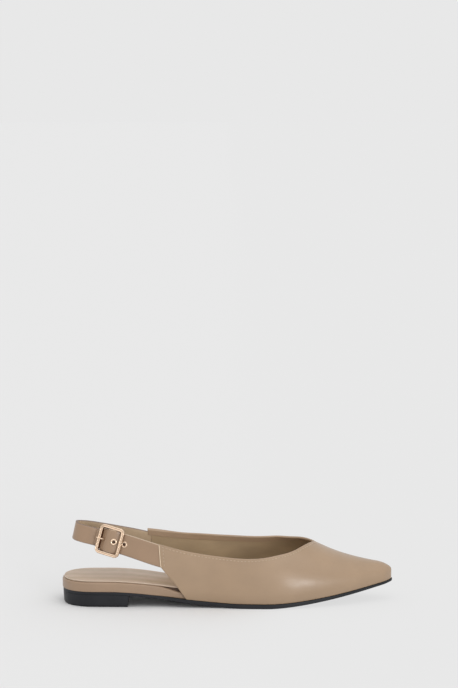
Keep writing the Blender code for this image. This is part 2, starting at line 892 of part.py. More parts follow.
def layer_axis(strap, u):
    """Point on the perforated strap's middle layer, with its normal and two sideways axes."""
    curve = path_samples(in_lengths(PERFORATED_PATH), 0.3)
    near = min(range(1, len(curve) - 1), key=lambda k: abs(curve[k][0] - u))
    run = along_strap(strap, [curve[near - 1], curve[near], curve[near + 1]])
    before, here, after = [strap.point(s, level, 0.0, 0.0) for s, level in run]
    sideways = (before - after) / np.linalg.norm(before - after)
    across = strap.frame(run[1][0])[3]
    normal = np.cross(sideways, across)
    return here, sideways, across, normal


def ring_round(shape, axis, radius, level, count):
    """A ring of points round an axis at a level along it."""
    here, sideways, across, normal = axis
    points = []
    for k in range(count):
        angle = 2 * math.pi * k / count
        swing = sideways * math.cos(angle) + across * math.sin(angle)
        points.append(here + normal * level + swing * radius)
    return shape.add_row(points)


def build_heel_strap(strap, finish):
    """Sling from the inner quarter round the heel, folded round the buckle's centre bar."""
    radius = CENTRE_BAR_RADIUS + GAP + STRAP_SKIVED / 2
    fold = path_samples(in_lengths(LOOP_LOWER_PATH), 1.9)
    fold += arc((0.0, CENTRE_BAR_LEVEL), radius, -90, 90, 8)
    fold += path_samples(in_lengths(LOOP_UPPER_PATH), 1.5)
    near = along_strap(strap, fold)
    start = near[-1][0]
    stop = strap.medial_seam - GAP
    count = 30
    run = [(blend(start, stop, k / count), 0.0) for k in range(1, count + 1)]
    path = near + run
    thicknesses = [STRAP_SKIVED] * len(near)
    thicknesses += [blend(STRAP_SKIVED, STRAP_THICKNESS, min(k / 3, 1)) for k in range(1, count + 1)]
    extras = []
    for s, level in path:
        faded = smooth_step((s - strap.buckle - FOLD_ENDS) / FOLD_FADES)
        extras.append(-FOLD_MARGIN * (1 - faded))
    shape = Shape()
    rings = add_layer(shape, strap, path, thicknesses, extras)
    path, thicknesses, extras = tongue(strap, strap.medial_seam, 1, 0)
    rings += add_layer(shape, strap, path[::-1], thicknesses, extras)
    close_rings(shape, rings)
    piece = shape.make("heel_strap", finish)
    cut(piece, prong_slot(strap, finish))
    return piece


def prong_slot(strap, finish):
    """Cutter for the slot that lets the prong through the fold."""
    corners = [
        (SLOT_REAR, SLOT_FOOT),
        (SLOT_REAR, SLOT_HEAD),
        (SLOT_FRONT, SLOT_HEAD),
        (SLOT_FRONT, SLOT_FOOT),
    ]
    slot = Shape()
    rows = []
    for w in (-SLOT_HALF_WIDTH, SLOT_HALF_WIDTH):
        rows.append(slot.add_row([rigid_point(strap, u, level, w) for u, level in corners]))
    close_rings(slot, rows)
    return slot.make("prong_slot", finish, cutter=True)


def rigid_point(strap, u, level, w):
    """Point of the stiff metal parts: u to the toe, level outward, w up the strap's width."""
    middle, along, outward, across = strap.square_frame(strap.buckle)
    return middle + along * u + outward * level + across * w


def add_tube(shape, points, radius, count):
    """Rings of a round wire through points."""
    rings = []
    for k, at in enumerate(points):
        along = points[min(k + 1, len(points) - 1)] - points[max(k - 1, 0)]
        along = along / np.linalg.norm(along)
        if k == 0:
            side = np.cross(along, np.array([0.3, 0.9, 0.3]))
        side = side - along * side.dot(along)
        side = side / np.linalg.norm(side)
        axis = (at, side, np.cross(along, side), along)
        rings.append(ring_round(shape, axis, radius, 0.0, count))
    return rings


def rounded_rectangle(half_length, half_height, corner, per_corner):
    """Points round a rectangle with rounded corners, in a plane."""
    points = []
    for turn, (way_u, way_w) in enumerate(((1, 1), (-1, 1), (-1, -1), (1, -1))):
        for k in range(per_corner + 1):
            angle = math.radians(90 * turn + 90 * k / per_corner)
            u = way_u * (half_length - corner) + corner * math.cos(angle)
            w = way_w * (half_height - corner) + corner * math.sin(angle)
            points.append((u, w))
    return points


def build_buckle_frame(strap, finish):
    """Frame that stands over the strap, with its centre bar dropped on two legs."""
    ease = BUCKLE_EASE
    profile = [
        (0.0, ease),
        (0.0, BUCKLE_DEPTH - ease),
        (ease, BUCKLE_DEPTH),
        (BUCKLE_BAR - ease, BUCKLE_DEPTH),
        (BUCKLE_BAR, BUCKLE_DEPTH - ease),
        (BUCKLE_BAR, ease),
        (BUCKLE_BAR - ease, 0.0),
        (ease, 0.0),
    ]
    shape = Shape()
    rings = []
    for inward, rise in profile:
        half_length = BUCKLE_LENGTH / 2 - inward
        half_height = BUCKLE_HEIGHT / 2 - inward
        corners = rounded_rectangle(half_length, half_height, BUCKLE_CORNER - inward, 4)
        level = BUCKLE_LIFT - BUCKLE_DEPTH / 2 + rise
        rings.append(shape.add_row([rigid_point(strap, u, level, w) for u, w in corners]))
    for first, second in zip(rings, rings[1:] + rings[:1]):
        shape.bridge(first, second, closed=True)
    piece = shape.make("buckle_frame", finish)
    reach = (BUCKLE_HEIGHT - BUCKLE_BAR) / 2
    low = CENTRE_BAR_LEVEL
    eased = CENTRE_BAR_BEND * (1 - math.sqrt(0.5))
    bend = [
        (BUCKLE_LIFT, reach),
        (low + CENTRE_BAR_BEND, reach),
        (low + eased, reach - eased),
        (low, reach - CENTRE_BAR_BEND),
    ]
    wire = [rigid_point(strap, 0.0, level, -w) for level, w in bend]
    wire += [rigid_point(strap, 0.0, level, w) for level, w in bend[::-1]]
    bar = Shape()
    close_rings(bar, add_tube(bar, wire, CENTRE_BAR_RADIUS, 10))
    join(piece, bar.make("centre_bar", finish, cutter=True))
    return piece


def build_prong(strap, finish):
    """Wire wound round the centre bar, up through the hole and over the frame's rear bar."""
    radius = CENTRE_BAR_RADIUS + GAP + PRONG_RADIUS
    wire = arc((0.0, CENTRE_BAR_LEVEL), radius, -150, 90, 14)
    wire += path_samples(in_lengths(PRONG_PATH), 0.9)
    shape = Shape()
    points = [rigid_point(strap, u, level, 0.0) for u, level in wire]
    close_rings(shape, add_tube(shape, points, PRONG_RADIUS, 8))
    return shape.make("prong", finish)


def build_eyelet(strap, name, u, finish):
    """A flanged tube through the perforated strap."""
    axis = layer_axis(strap, u)
    foot = -PERFORATED_THICKNESS / 2
    seat = PERFORATED_THICKNESS / 2 + EYELET_LIFT
    crest = seat + EYELET_RIM
    shoulder = (seat + crest) / 2
    profile = [
        (EYELET_BORE, foot),
        (EYELET_BARREL, foot),
        (EYELET_BARREL, seat),
        (EYELET_RADIUS, seat),
        (EYELET_RADIUS - EYELET_RIM / 2, shoulder),
        ((EYELET_RADIUS + EYELET_BORE) / 2, crest),
        (EYELET_BORE, shoulder),
    ]
    shape = Shape()
    rings = [ring_round(shape, axis, radius, level, 16) for radius, level in profile]
    for first, second in zip(rings, rings[1:] + rings[:1]):
        shape.bridge(first, second, closed=True)
    return shape.make(name, finish)


def main():
    for piece in list(bpy.data.objects):
        bpy.data.objects.remove(piece, do_unlink=True)
    leather = material("leather", LEATHER, 0.42)
    strap_leather = material("strap_leather", LEATHER, 0.42)
    band = material("footbed_leather", LEATHER, 0.45)
    lining = material("lining", LINING, 0.6)
    sole = material("sole_black", SOLE_BLACK, 0.45)
    heel = material("heel_black", SOLE_BLACK, 0.45)
    gold = material("rose_gold", ROSE_GOLD, 0.22, metallic=1.0)
    build_outsole(sole)
    build_heel(heel)
    build_footbed(band)
    build_sock(lining)
    upper = build_upper(leather)
    strap = Strap()
    cut_pocket(upper, strap, -1)
    cut_pocket(upper, strap, 1)
    build_front_strap(strap, strap_leather)
    build_heel_strap(strap, strap_leather)
    build_buckle_frame(strap, gold)
    build_prong(strap, gold)
    build_eyelet(strap, "eyelet_b", PRONG_HOLE_PLACE + EYELET_PITCH, gold)
    build_eyelet(strap, "eyelet_c", PRONG_HOLE_PLACE + 2 * EYELET_PITCH, gold)


main()
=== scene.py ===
"""Dresses the right sling back flat: leather upper, lining, footbed, black sole and rose gold buckle.

Lengths here are millimetres along the shoe, from the back of the footbed, until a mesh is made.
"""

import math

import bmesh
import bpy
import numpy as np
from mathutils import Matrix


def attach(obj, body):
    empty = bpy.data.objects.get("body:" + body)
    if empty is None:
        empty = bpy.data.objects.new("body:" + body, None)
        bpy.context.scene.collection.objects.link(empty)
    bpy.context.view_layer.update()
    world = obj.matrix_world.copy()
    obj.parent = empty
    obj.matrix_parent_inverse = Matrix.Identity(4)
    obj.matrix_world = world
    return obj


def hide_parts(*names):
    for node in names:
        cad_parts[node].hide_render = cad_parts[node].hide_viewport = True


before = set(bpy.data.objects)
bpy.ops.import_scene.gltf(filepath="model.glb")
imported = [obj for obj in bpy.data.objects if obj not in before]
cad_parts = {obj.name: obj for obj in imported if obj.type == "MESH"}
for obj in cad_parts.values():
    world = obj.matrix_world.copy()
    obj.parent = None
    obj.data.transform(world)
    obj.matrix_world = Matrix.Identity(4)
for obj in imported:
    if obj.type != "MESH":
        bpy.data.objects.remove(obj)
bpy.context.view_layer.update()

MM = 0.001
GAP = 0.3

# Points closer than this are one point
MERGE = 0.002

# The shoe as a whole
SHOE_LENGTH = 269.0
BALL_WIDTH = 65.0
HEEL_WIDTH = 54.0
HEEL_HEIGHT = 10.1
HEEL_LENGTH = 53.4
TOE_SPRING = 15.5
VAMP_HEIGHT = 41.4
SLING_HEIGHT = 66.0

# Sole
OUTSOLE_SEAT = 2.4
OUTSOLE_BALL = 3.6
OUTSOLE_TIP = 2.0
SOLE_EDGE_HEEL = 0.3
SOLE_EDGE_FORE = 0.7
HEEL_TAPER = 0.6
HEEL_BREAST_SLANT = 1.0
HEEL_CORNER = 1.8
HEEL_EDGE = -0.15
BAND_SWELL = 0.4
BAND_SWELL_REACH = 60.0
FOOTBED_SEAT = 7.6
FOOTBED_FORE = 4.2
SOCK = 0.9
SOCK_INSET = 1.3
COVER_DROP = 2.8
COVER_DROP_FROM = 77.0
COVER_DROP_TO = 97.0
CORE_INSET = 2.6
HEEL_LEVELS = (3.0, 5.0, 7.0, 8.6)
SOCK_PRESS_LINE = [(1.6, 0.0), (2.0, 0.10), (2.25, 0.13), (2.5, 0.10), (2.9, 0.0), (5.0, 0.0)]
PIPING = 0.3
PIPING_REACH = 120.0

# Upper
UPPER_WALL = 1.8
QUARTER_END_WALL = 3.0
WIDEST_RISE = 8.0
FEATHER_TUCK = 2.0
TIP_RADIUS = 6.0
NOSE_REACH = 2.2
NOSE_HEIGHT_SHARE = 0.5
NOSE_RISE_SHARE = 0.6
TUCK_FADES_BELOW = 8.0
FACING_WIDTH = 4.7
FACING_STEP = 0.35
LINING_ROOM = 0.5
SEAM_STITCH = 2.9
STITCH_INSET = 2.3
STITCH_LENGTH = 1.9
STITCH_PITCH = 2.9
THREAD = 0.27
RAW_EDGE_RADIUS = 0.36
TOPLINE_FADES = 3.0
LINING_LAP = 0.05

# Sling strap
STRAP_THICKNESS = 1.8
STRAP_EDGE = 0.5
STRAP_EDGE_SHARE = 0.35
STRAP_SKIVED = 1.2
PERFORATED_THICKNESS = 1.6
TONGUE_LENGTH = 9.0
STRAP_FOOT = 0.57
LATERAL_STRAP_HEAD = 1.0
MEDIAL_STRAP_HEAD = 0.95
TONGUE_RUN = 13.0
STRAP_FALL = 0.24
FOLD_MARGIN = 0.3
FOLD_ROOM = 0.08
FOLD_GROWS = 10
FOLD_ENDS = 14.0
FOLD_FADES = 12.0
FRAME_FILL = 1.25
FRAME_FILL_REACH = 6.0
FRAME_FILL_FADES = 3.0
STRAP_TIP_TAPER = 2.4
STRAP_TIP_ROWS = 6
TONGUE_SHOWN = 3.0

# Runs of the perforated strap, from the buckle's middle to the heel, given a dark painted shade beside
# the frame's bars
PAINTED_SHADE_RUNS = [(6.9, 9.0), (-8.9, -7.8)]

# Buckle and eyelets
BUCKLE_LENGTH = 21.1
BUCKLE_HEIGHT = 24.2
BUCKLE_BAR = 3.1
BUCKLE_DEPTH = 2.0
BUCKLE_CORNER = 4.0
BUCKLE_LIFT = 2.8
CENTRE_BAR_RADIUS = 0.8
CENTRE_BAR_LEVEL = -0.6
CENTRE_BAR_BEND = 1.2
PRONG_RADIUS = 0.65
PRONG_ROOM = 0.1
PRONG_HOLE_ROOM = 0.12
PRONG_TIP_SHARE = 0.45
EYELET_PITCH = 8.2
EYELET_RADIUS = 2.7
EYELET_BORE = 1.25
EYELET_BARREL = 1.7
EYELET_RIM = 0.4
EYELET_LIFT = 0.15
EYELET_SINK = 0.1
EYELET_PLUG = -0.45
EYELET_CUT = 2.5
PRONG_HOLE_PLACE = -4.6
SLOT_HALF_WIDTH = 1.2
SLOT_CORNERS = [(-6.0, -5.0), (-6.0, 2.1), (3.6, 2.1), (3.6, -5.0)]

# Section of the buckle's frame, clockwise from its outer foot: inward as a share of the bar's width,
# rise as a share of its depth, and whether the band up to the next point is bright (0), the groove
# (1) or the inner wall (2), both of these darkened as painted shade.
FRAME_PROFILE = [
    (0.00, 0.28, 0), (0.00, 0.60, 0), (0.03, 0.80, 0), (0.09, 0.94, 0), (0.18, 1.00, 0),
    (0.27, 0.97, 0), (0.33, 0.91, 1), (0.38, 0.86, 1), (0.42, 0.84, 1), (0.46, 0.86, 1),
    (0.51, 0.91, 0), (0.57, 0.97, 0), (0.66, 1.00, 0), (0.74, 0.97, 0), (0.81, 0.88, 2),
    (0.88, 0.66, 2), (0.94, 0.40, 2), (1.00, 0.14, 2), (0.97, 0.04, 2), (0.90, 0.00, 2),
    (0.12, 0.00, 2), (0.03, 0.08, 0),
]

# Places along the shoe, as shares of the footbed's length
BALL_REAR = 0.555
BALL_FRONT = 0.627
SEAT_FRONT = 0.14
THROAT = 0.768
EDGE_GROWS_FROM = 0.27
EDGE_GROWS_TO = 0.39
LATERAL_SEAM = 0.2975
MEDIAL_SEAM = 0.257
HEEL_MOUNT = 0.104
BUCKLE_PLACE = 0.1505

LOWER_SHARE = 0.18
UPPER_MARGIN = UPPER_WALL + GAP
SOLE_MARGIN = UPPER_MARGIN + SOLE_EDGE_FORE
LENGTH = SHOE_LENGTH - SOLE_EDGE_HEEL - SOLE_MARGIN
ORIGIN_X = HEEL_MOUNT * LENGTH
TOE_CURVE = 1.45
HEEL_ROUND_POWER = 2.3
TOE_ROUND_POWER = 2.0

# Camera: the photograph's frame, and where in it the shoe's middle and the floor under it lie
FRAME_WIDTH = 458
FRAME_HEIGHT = 688
PIXEL = 0.815
CAMERA_ELEVATION = 12.0
CAMERA_DISTANCE = 1.75
HEEL_COLUMN = 63.1
MIDDLE_COLUMN = 228.0
MIDDLE_ROW = 565.0
FLOOR_ROW = 599.9

# Studio
WHITE = 0.807
PAPER = 0.757
TABLE_REACH = 60.0
# Glow painted into the table as light under the toe, rising between two places along it in metres
PAINTED_FLOOR_GLOW = 0.85
PAINTED_GLOW_FROM = 0.09
PAINTED_GLOW_TO = 0.16
TOP_LIGHT = (0.85, 65.0, 70.0, 0.0)
FRONT_LIGHT = (0.75, 5.0, 17.0, 27.0)

# Footbed outline: share of length, centre and half width as shares of the driving width, and how
# far that width is the heel's (1) rather than the ball's (0).
OUTLINE = [
    (0.000, 0.000, 0.490, 1.0), (0.095, -0.012, 0.494, 1.0), (0.170, -0.016, 0.500, 1.0),
    (0.226, -0.020, 0.497, 1.0), (0.302, -0.032, 0.465, 1.0), (0.377, -0.049, 0.400, 0.4),
    (0.453, -0.055, 0.377, 0.1), (0.528, -0.038, 0.426, 0.0), (0.604, -0.008, 0.480, 0.0),
    (0.679, 0.019, 0.499, 0.0), (0.755, 0.041, 0.459, 0.0), (0.830, 0.056, 0.375, 0.0),
    (0.906, 0.071, 0.255, 0.0), (0.962, 0.081, 0.150, 0.0), (1.000, 0.086, 0.080, 0.0),
]

# Crown of the last above the feather line: share of length, height as a share of the vamp's, and
# the widest point's rise and the tuck below it, as shares of theirs.
CROWN = [
    (0.230, 2.200, 0.75, 0.40), (0.302, 2.135, 0.80, 0.45), (0.355, 2.030, 0.90, 0.55),
    (0.411, 1.957, 1.00, 0.70), (0.468, 1.845, 1.05, 0.85), (0.525, 1.720, 1.05, 1.00),
    (0.581, 1.580, 1.05, 1.00), (0.623, 1.480, 1.05, 1.00), (0.666, 1.350, 1.05, 1.00),
    (0.708, 1.210, 1.00, 0.95), (0.736, 1.116, 1.00, 0.90), (0.768, 1.000, 1.00, 0.85),
    (0.826, 0.780, 0.95, 0.75), (0.875, 0.623, 0.85, 0.65), (0.925, 0.486, 0.72, 0.50),
    (0.974, 0.372, 0.60, 0.40), (1.000, 0.325, 0.50, 0.30),
]

# Topline: share of length, and how open the section is there, as shares of its half width.
LATERAL_TOPLINE = [
    (0.220, 0.895), (0.302, 0.899), (0.355, 0.903), (0.411, 0.907), (0.468, 0.901), (0.525, 0.888),
    (0.581, 0.866), (0.623, 0.831), (0.666, 0.759), (0.708, 0.625), (0.736, 0.432), (0.753, 0.242),
    (THROAT, 0.0),
]
MEDIAL_TOPLINE = [
    (0.220, 0.893), (0.257, 0.890), (0.309, 0.881), (0.358, 0.870), (0.411, 0.854), (0.468, 0.830),
    (0.525, 0.804), (0.581, 0.772), (0.623, 0.730), (0.666, 0.645), (0.708, 0.522), (0.736, 0.360),
    (0.753, 0.210), (THROAT, 0.0),
]

# Rear edge of each quarter: share of the wall's height, and place along the shoe.
LATERAL_REAR = [
    (0.00, 0.3800), (0.30, 0.3455), (0.52, 0.3115), (0.57, 0.3040), (0.60, 0.3025),
    (1.00, LATERAL_SEAM),
]
MEDIAL_REAR = [
    (0.00, 0.3800), (0.30, 0.3290), (0.52, 0.2680), (0.58, 0.2600), (1.00, MEDIAL_SEAM),
]

# Sling strap behind the quarters, from the back of the heel forward. Upper and lower edge each as
# place along the shoe (share of length), reach sideways (share of heel width) and height (share
# of the sling's height). It starts the same on both sides, and is wider on the outer side from
# the buckle on.
SLING_BACK = [
    ((0.0448, 0.000, 1.000), (0.0323, 0.000, 0.782)),
    ((0.0505, 0.105, 0.990), (0.0388, 0.115, 0.776)),
    ((0.0710, 0.182, 0.974), (0.0590, 0.203, 0.762)),
    ((0.1085, 0.234, 0.945), (0.0945, 0.260, 0.727)),
]
SLING_OUTER = [
    ((0.1517, 0.296, 0.920), (0.1356, 0.328, 0.684)),
    ((0.2024, 0.379, 0.884), (0.1864, 0.409, 0.637)),
]
SLING_INNER = [
    ((0.1507, 0.298, 0.905), (0.1365, 0.326, 0.697)),
]

# Paths in the strap's own section near the buckle: place along the strap from the frame's middle,
# positive towards the toe, and height above the strap's middle layer, as shares of the buckle's
# length.
PERFORATED_PATH = [
    (0.806, 0.000), (0.592, 0.000), (0.474, 0.002), (0.363, 0.016), (0.313, 0.036), (0.246, 0.076),
    (0.171, 0.116), (0.085, 0.140), (0.000, 0.145), (-0.085, 0.133), (-0.171, 0.095), (-0.246, 0.055),
    (-0.303, 0.029), (-0.360, 0.016), (-0.427, 0.009), (-0.521, 0.005), (-0.616, 0.005),
]
LOOP_UPPER_PATH = [
    (-0.057, 0.047), (-0.114, 0.033), (-0.180, -0.002), (-0.256, -0.040), (-0.341, -0.069),
    (-0.427, -0.083), (-0.521, -0.090), (-0.640, -0.083), (-0.735, -0.057), (-0.853, -0.019),
    (-0.995, 0.000),
]
LOOP_LOWER_PATH = [
    (-0.853, -0.114), (-0.711, -0.147), (-0.569, -0.168), (-0.427, -0.166), (-0.284, -0.149),
    (-0.166, -0.130), (-0.066, -0.114),
]
PRONG_PATH = [
    (-0.076, 0.038), (-0.142, 0.021), (-0.185, 0.036), (-0.218, 0.076), (-0.251, 0.128),
    (-0.284, 0.175), (-0.318, 0.206), (-0.365, 0.225), (-0.427, 0.227), (-0.493, 0.227),
    (-0.531, 0.218),
]


def spline(knots, values):
    """Natural cubic through the values at the knots, held at both ends."""
    knots = np.asarray(knots, float)
    values = np.asarray(values, float)
    steps = np.diff(knots)
    count = len(knots)
    system = np.eye(count)
    right = np.zeros(values.shape)
    for k in range(1, count - 1):
        system[k, k - 1 : k + 2] = steps[k - 1], 2 * (steps[k - 1] + steps[k]), steps[k]
        rise = (values[k + 1] - values[k]) / steps[k] - (values[k] - values[k - 1]) / steps[k - 1]
        right[k] = 6 * rise
    bend = np.linalg.solve(system, right)

    def at(x):
        x = min(max(x, knots[0]), knots[-1])
        k = min(int(np.searchsorted(knots, x, side="right")) - 1, count - 2)
        a = (knots[k + 1] - x) / steps[k]
        b = 1 - a
        cubic = (a**3 - a) * bend[k] + (b**3 - b) * bend[k + 1]
        return a * values[k] + b * values[k + 1] + cubic * steps[k] ** 2 / 6

    return at


def column_curves(table):
    """One curve for each column of a table whose first column is the share of length."""
    rows = np.array(table, float)
    return [spline(rows[:, 0], rows[:, k]) for k in range(1, rows.shape[1])]


def smooth_step(t):
    t = min(max(t, 0.0), 1.0)
    return t * t * (3 - 2 * t)


def blend(a, b, t):
    return a + (b - a) * t


def unit(vector):
    return vector / np.linalg.norm(vector)


CENTRE_OF, HALF_OF, HEEL_PART_OF = column_curves(OUTLINE)
CROWN_OF, RISE_OF, TUCK_OF = column_curves(CROWN)
OPEN_OF = {-1: column_curves(LATERAL_TOPLINE)[0], 1: column_curves(MEDIAL_TOPLINE)[0]}


def rear_edge(side, height_share):
    """Place along the shoe where a quarter's rear edge runs."""
    table = LATERAL_REAR if side < 0 else MEDIAL_REAR
    return LENGTH * float(np.interp(height_share, [row[0] for row in table], [row[1] for row in table]))


def end_round(distance, reach, power):
    """Grows from 0 at an outline's end to 1 where its round end meets the side."""
    t = min(max(distance / reach, 0.0), 1.0)
    return (1 - (1 - t) ** power) ** (1 / power)


def outline(x, margin=0.0, end_margin=None):
    """Centre and half width of the footbed's outline, grown by a margin all round."""
    ends = margin if end_margin is None else end_margin
    share = x / LENGTH
    heel_part = min(max(HEEL_PART_OF(share), 0.0), 1.0)
    width = blend(BALL_WIDTH, HEEL_WIDTH, heel_part)
    heel = end_round(x + ends, HEEL_WIDTH / 2 + ends, HEEL_ROUND_POWER)
    toe = end_round(LENGTH + ends - x, TIP_RADIUS + ends, TOE_ROUND_POWER)
    return CENTRE_OF(share) * width, (HALF_OF(share) * width + margin) * heel * toe


def sole_bottom(x):
    """Underside of the outsole: heel seat, arch, a flat tread at the ball, and toe spring."""
    front = BALL_FRONT * LENGTH
    rear = BALL_REAR * LENGTH
    if x > front:
        return TOE_SPRING * ((x - front) / (LENGTH + SOLE_MARGIN - front)) ** TOE_CURVE
    return HEEL_HEIGHT * smooth_step((rear - x) / (rear - SEAT_FRONT * LENGTH))


def outsole_thickness(x):
    share = x / LENGTH
    if share < BALL_FRONT:
        grown = smooth_step((share - EDGE_GROWS_FROM) / (BALL_REAR - EDGE_GROWS_FROM))
        return blend(OUTSOLE_SEAT, OUTSOLE_BALL, grown)
    return blend(OUTSOLE_BALL, OUTSOLE_TIP, (share - BALL_FRONT) / (1 - BALL_FRONT))


def feather(x):
    """Height at which footbed and upper begin, just above the outsole."""
    return sole_bottom(x) + outsole_thickness(x) + GAP


def footbed_top(x):
    thinned = smooth_step((x / LENGTH - EDGE_GROWS_TO) / (BALL_FRONT - EDGE_GROWS_TO))
    return feather(x) + blend(FOOTBED_SEAT, FOOTBED_FORE, thinned)


def edge_growth(x):
    """0 where the sole is flush with the footbed, 1 where it carries the upper too."""
    return smooth_step((x / LENGTH - EDGE_GROWS_FROM) / (EDGE_GROWS_TO - EDGE_GROWS_FROM))


def section_sizes(x, inset):
    """Centre, widest half width, tuck, base, rise of the widest point and height at a station."""
    share = x / LENGTH
    margin = UPPER_MARGIN - inset
    centre, half = outline(x, margin)
    nose = end_round(LENGTH + margin - x, NOSE_REACH * TIP_RADIUS, TOE_ROUND_POWER)
    height = CROWN_OF(share) * VAMP_HEIGHT * blend(NOSE_HEIGHT_SHARE, 1.0, nose) - inset
    rise = RISE_OF(share) * WIDEST_RISE * blend(NOSE_RISE_SHARE, 1.0, nose)
    tuck = TUCK_OF(share) * FEATHER_TUCK * min(1.0, half / TUCK_FADES_BELOW)
    return centre, half + tuck, tuck, feather(x), rise, height


def top_angle(x, side):
    """Angle round the section at which the topline lies: a right angle on the closed vamp."""
    opening = OPEN_OF[side](x / LENGTH) if x < THROAT * LENGTH else 0.0
    return math.acos(min(max(opening, 0.0), 1.0))


def wall_at_angle(x, side, angle, inset=0.0):
    """Point on the upper's wall at an angle above its widest level."""
    centre, widest, tuck, base, rise, height = section_sizes(x, inset)
    y = centre + side * widest * math.cos(angle)
    return np.array([x, y, base + rise + (height - rise) * math.sin(angle)])


def section_point(x, side, height_share, inset=0.0):
    """Point on the upper's outer surface, or that far inside it, at a station.

    height_share runs from 0 at the feather line to 1 at the topline, or the ridge of the vamp.
    """
    if height_share > LOWER_SHARE:
        t = (height_share - LOWER_SHARE) / (1 - LOWER_SHARE)
        return wall_at_angle(x, side, top_angle(x, side) * t, inset)
    centre, widest, tuck, base, rise, height = section_sizes(x, inset)
    t = height_share / LOWER_SHARE
    return np.array([x, centre + side * (widest - tuck * (1 - t) ** 2), base + rise * t])


def share_at_height(x, side, z):
    """Share of the wall's height at which it reaches a level."""
    low, high = 0.0, 1.0
    for _ in range(30):
        middle = (low + high) / 2
        if section_point(x, side, middle)[2] < z:
            low = middle
        else:
            high = middle
    return (low + high) / 2


def wall_thickness(x, side):
    """Leather and lining, thicker where the quarter's end holds the strap's tongue."""
    seam = (LATERAL_SEAM if side < 0 else MEDIAL_SEAM) * LENGTH
    past = (x - seam - TONGUE_LENGTH) / (2 * TONGUE_LENGTH)
    return blend(QUARTER_END_WALL, UPPER_WALL, smooth_step(past))


def clustered(count, start=1.0, end=1.0):
    """Shares from 0 to 1 that crowd towards an end as its power grows past 1."""
    shares = []
    for k in range(count + 1):
        t = k / count
        shares.append(blend(t**start, 1 - (1 - t) ** end, t))
    return shares


def link(name, data):
    made = bpy.data.objects.new(name, data)
    bpy.context.scene.collection.objects.link(made)
    return made


def circle(centre, first, second, radius, count):
    """Points round a centre, in the plane of two directions."""
    turns = [2 * math.pi * k / count for k in range(count)]
    return [centre + (first * math.cos(turn) + second * math.sin(turn)) * radius for turn in turns]


def way_at(points, k):
    """Direction of a line of points at one of them."""
    return unit(points[min(k + 1, len(points) - 1)] - points[max(k - 1, 0)])


class Shape:
    """Points in millimetres and faces with material numbers, made into one object."""

    def __init__(self):
        self.points = []
        self.faces = []
        self.numbers = []

    def add_row(self, points):
        start = len(self.points)
        self.points.extend(points)
        return list(range(start, start + len(points)))

    def bridge(self, first, second, closed=False, number=0):
        """A band of faces between two rows; number may be a list, one for each face."""
        count = len(first) if closed else len(first) - 1
        for k in range(count):
            n = (k + 1) % len(first)
            self.faces.append((first[k], first[n], second[n], second[k]))
            self.numbers.append(number[k] if isinstance(number, list) else number)

    def skin(self, rows, closed=False, number=0):
        for first, second in zip(rows, rows[1:]):
            self.bridge(first, second, closed, number)

    def fill(self, *rings, number=0):
        for ring in rings:
            self.faces.append(tuple(ring))
            self.numbers.append(number)

    def tube(self, rows, number=0):
        """Rows of points as closed rings, with both ends filled."""
        rings = [self.add_row(points) for points in rows]
        self.skin(rings, closed=True, number=number)
        self.fill(rings[0], rings[-1], number=number)

    def make(self, name, materials, node=None, slot=None, sharp=50.0):
        """The object itself; the slot argument is not used."""
        mesh = bpy.data.meshes.new(name)
        places = [((p[0] - ORIGIN_X) * MM, p[1] * MM, p[2] * MM) for p in self.points]
        mesh.from_pydata(places, [], self.faces)
        for finish in materials:
            mesh.materials.append(finish)
        mesh.polygons.foreach_set("material_index", self.numbers)
        work = bmesh.new()
        work.from_mesh(mesh)
        bmesh.ops.remove_doubles(work, verts=work.verts, dist=MERGE * MM)
        bmesh.ops.dissolve_degenerate(work, edges=work.edges, dist=MERGE * MM)
        bmesh.ops.recalc_face_normals(work, faces=work.faces)
        if work.calc_volume(signed=True) < 0:
            bmesh.ops.reverse_faces(work, faces=work.faces)
        work.to_mesh(mesh)
        work.free()
        mesh.shade_smooth()
        mesh.set_sharp_from_angle(angle=math.radians(sharp))
        piece = link(name, mesh)
        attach(piece, "root")
        if node:
            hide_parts(node)
        slot = slot or node
        return piece


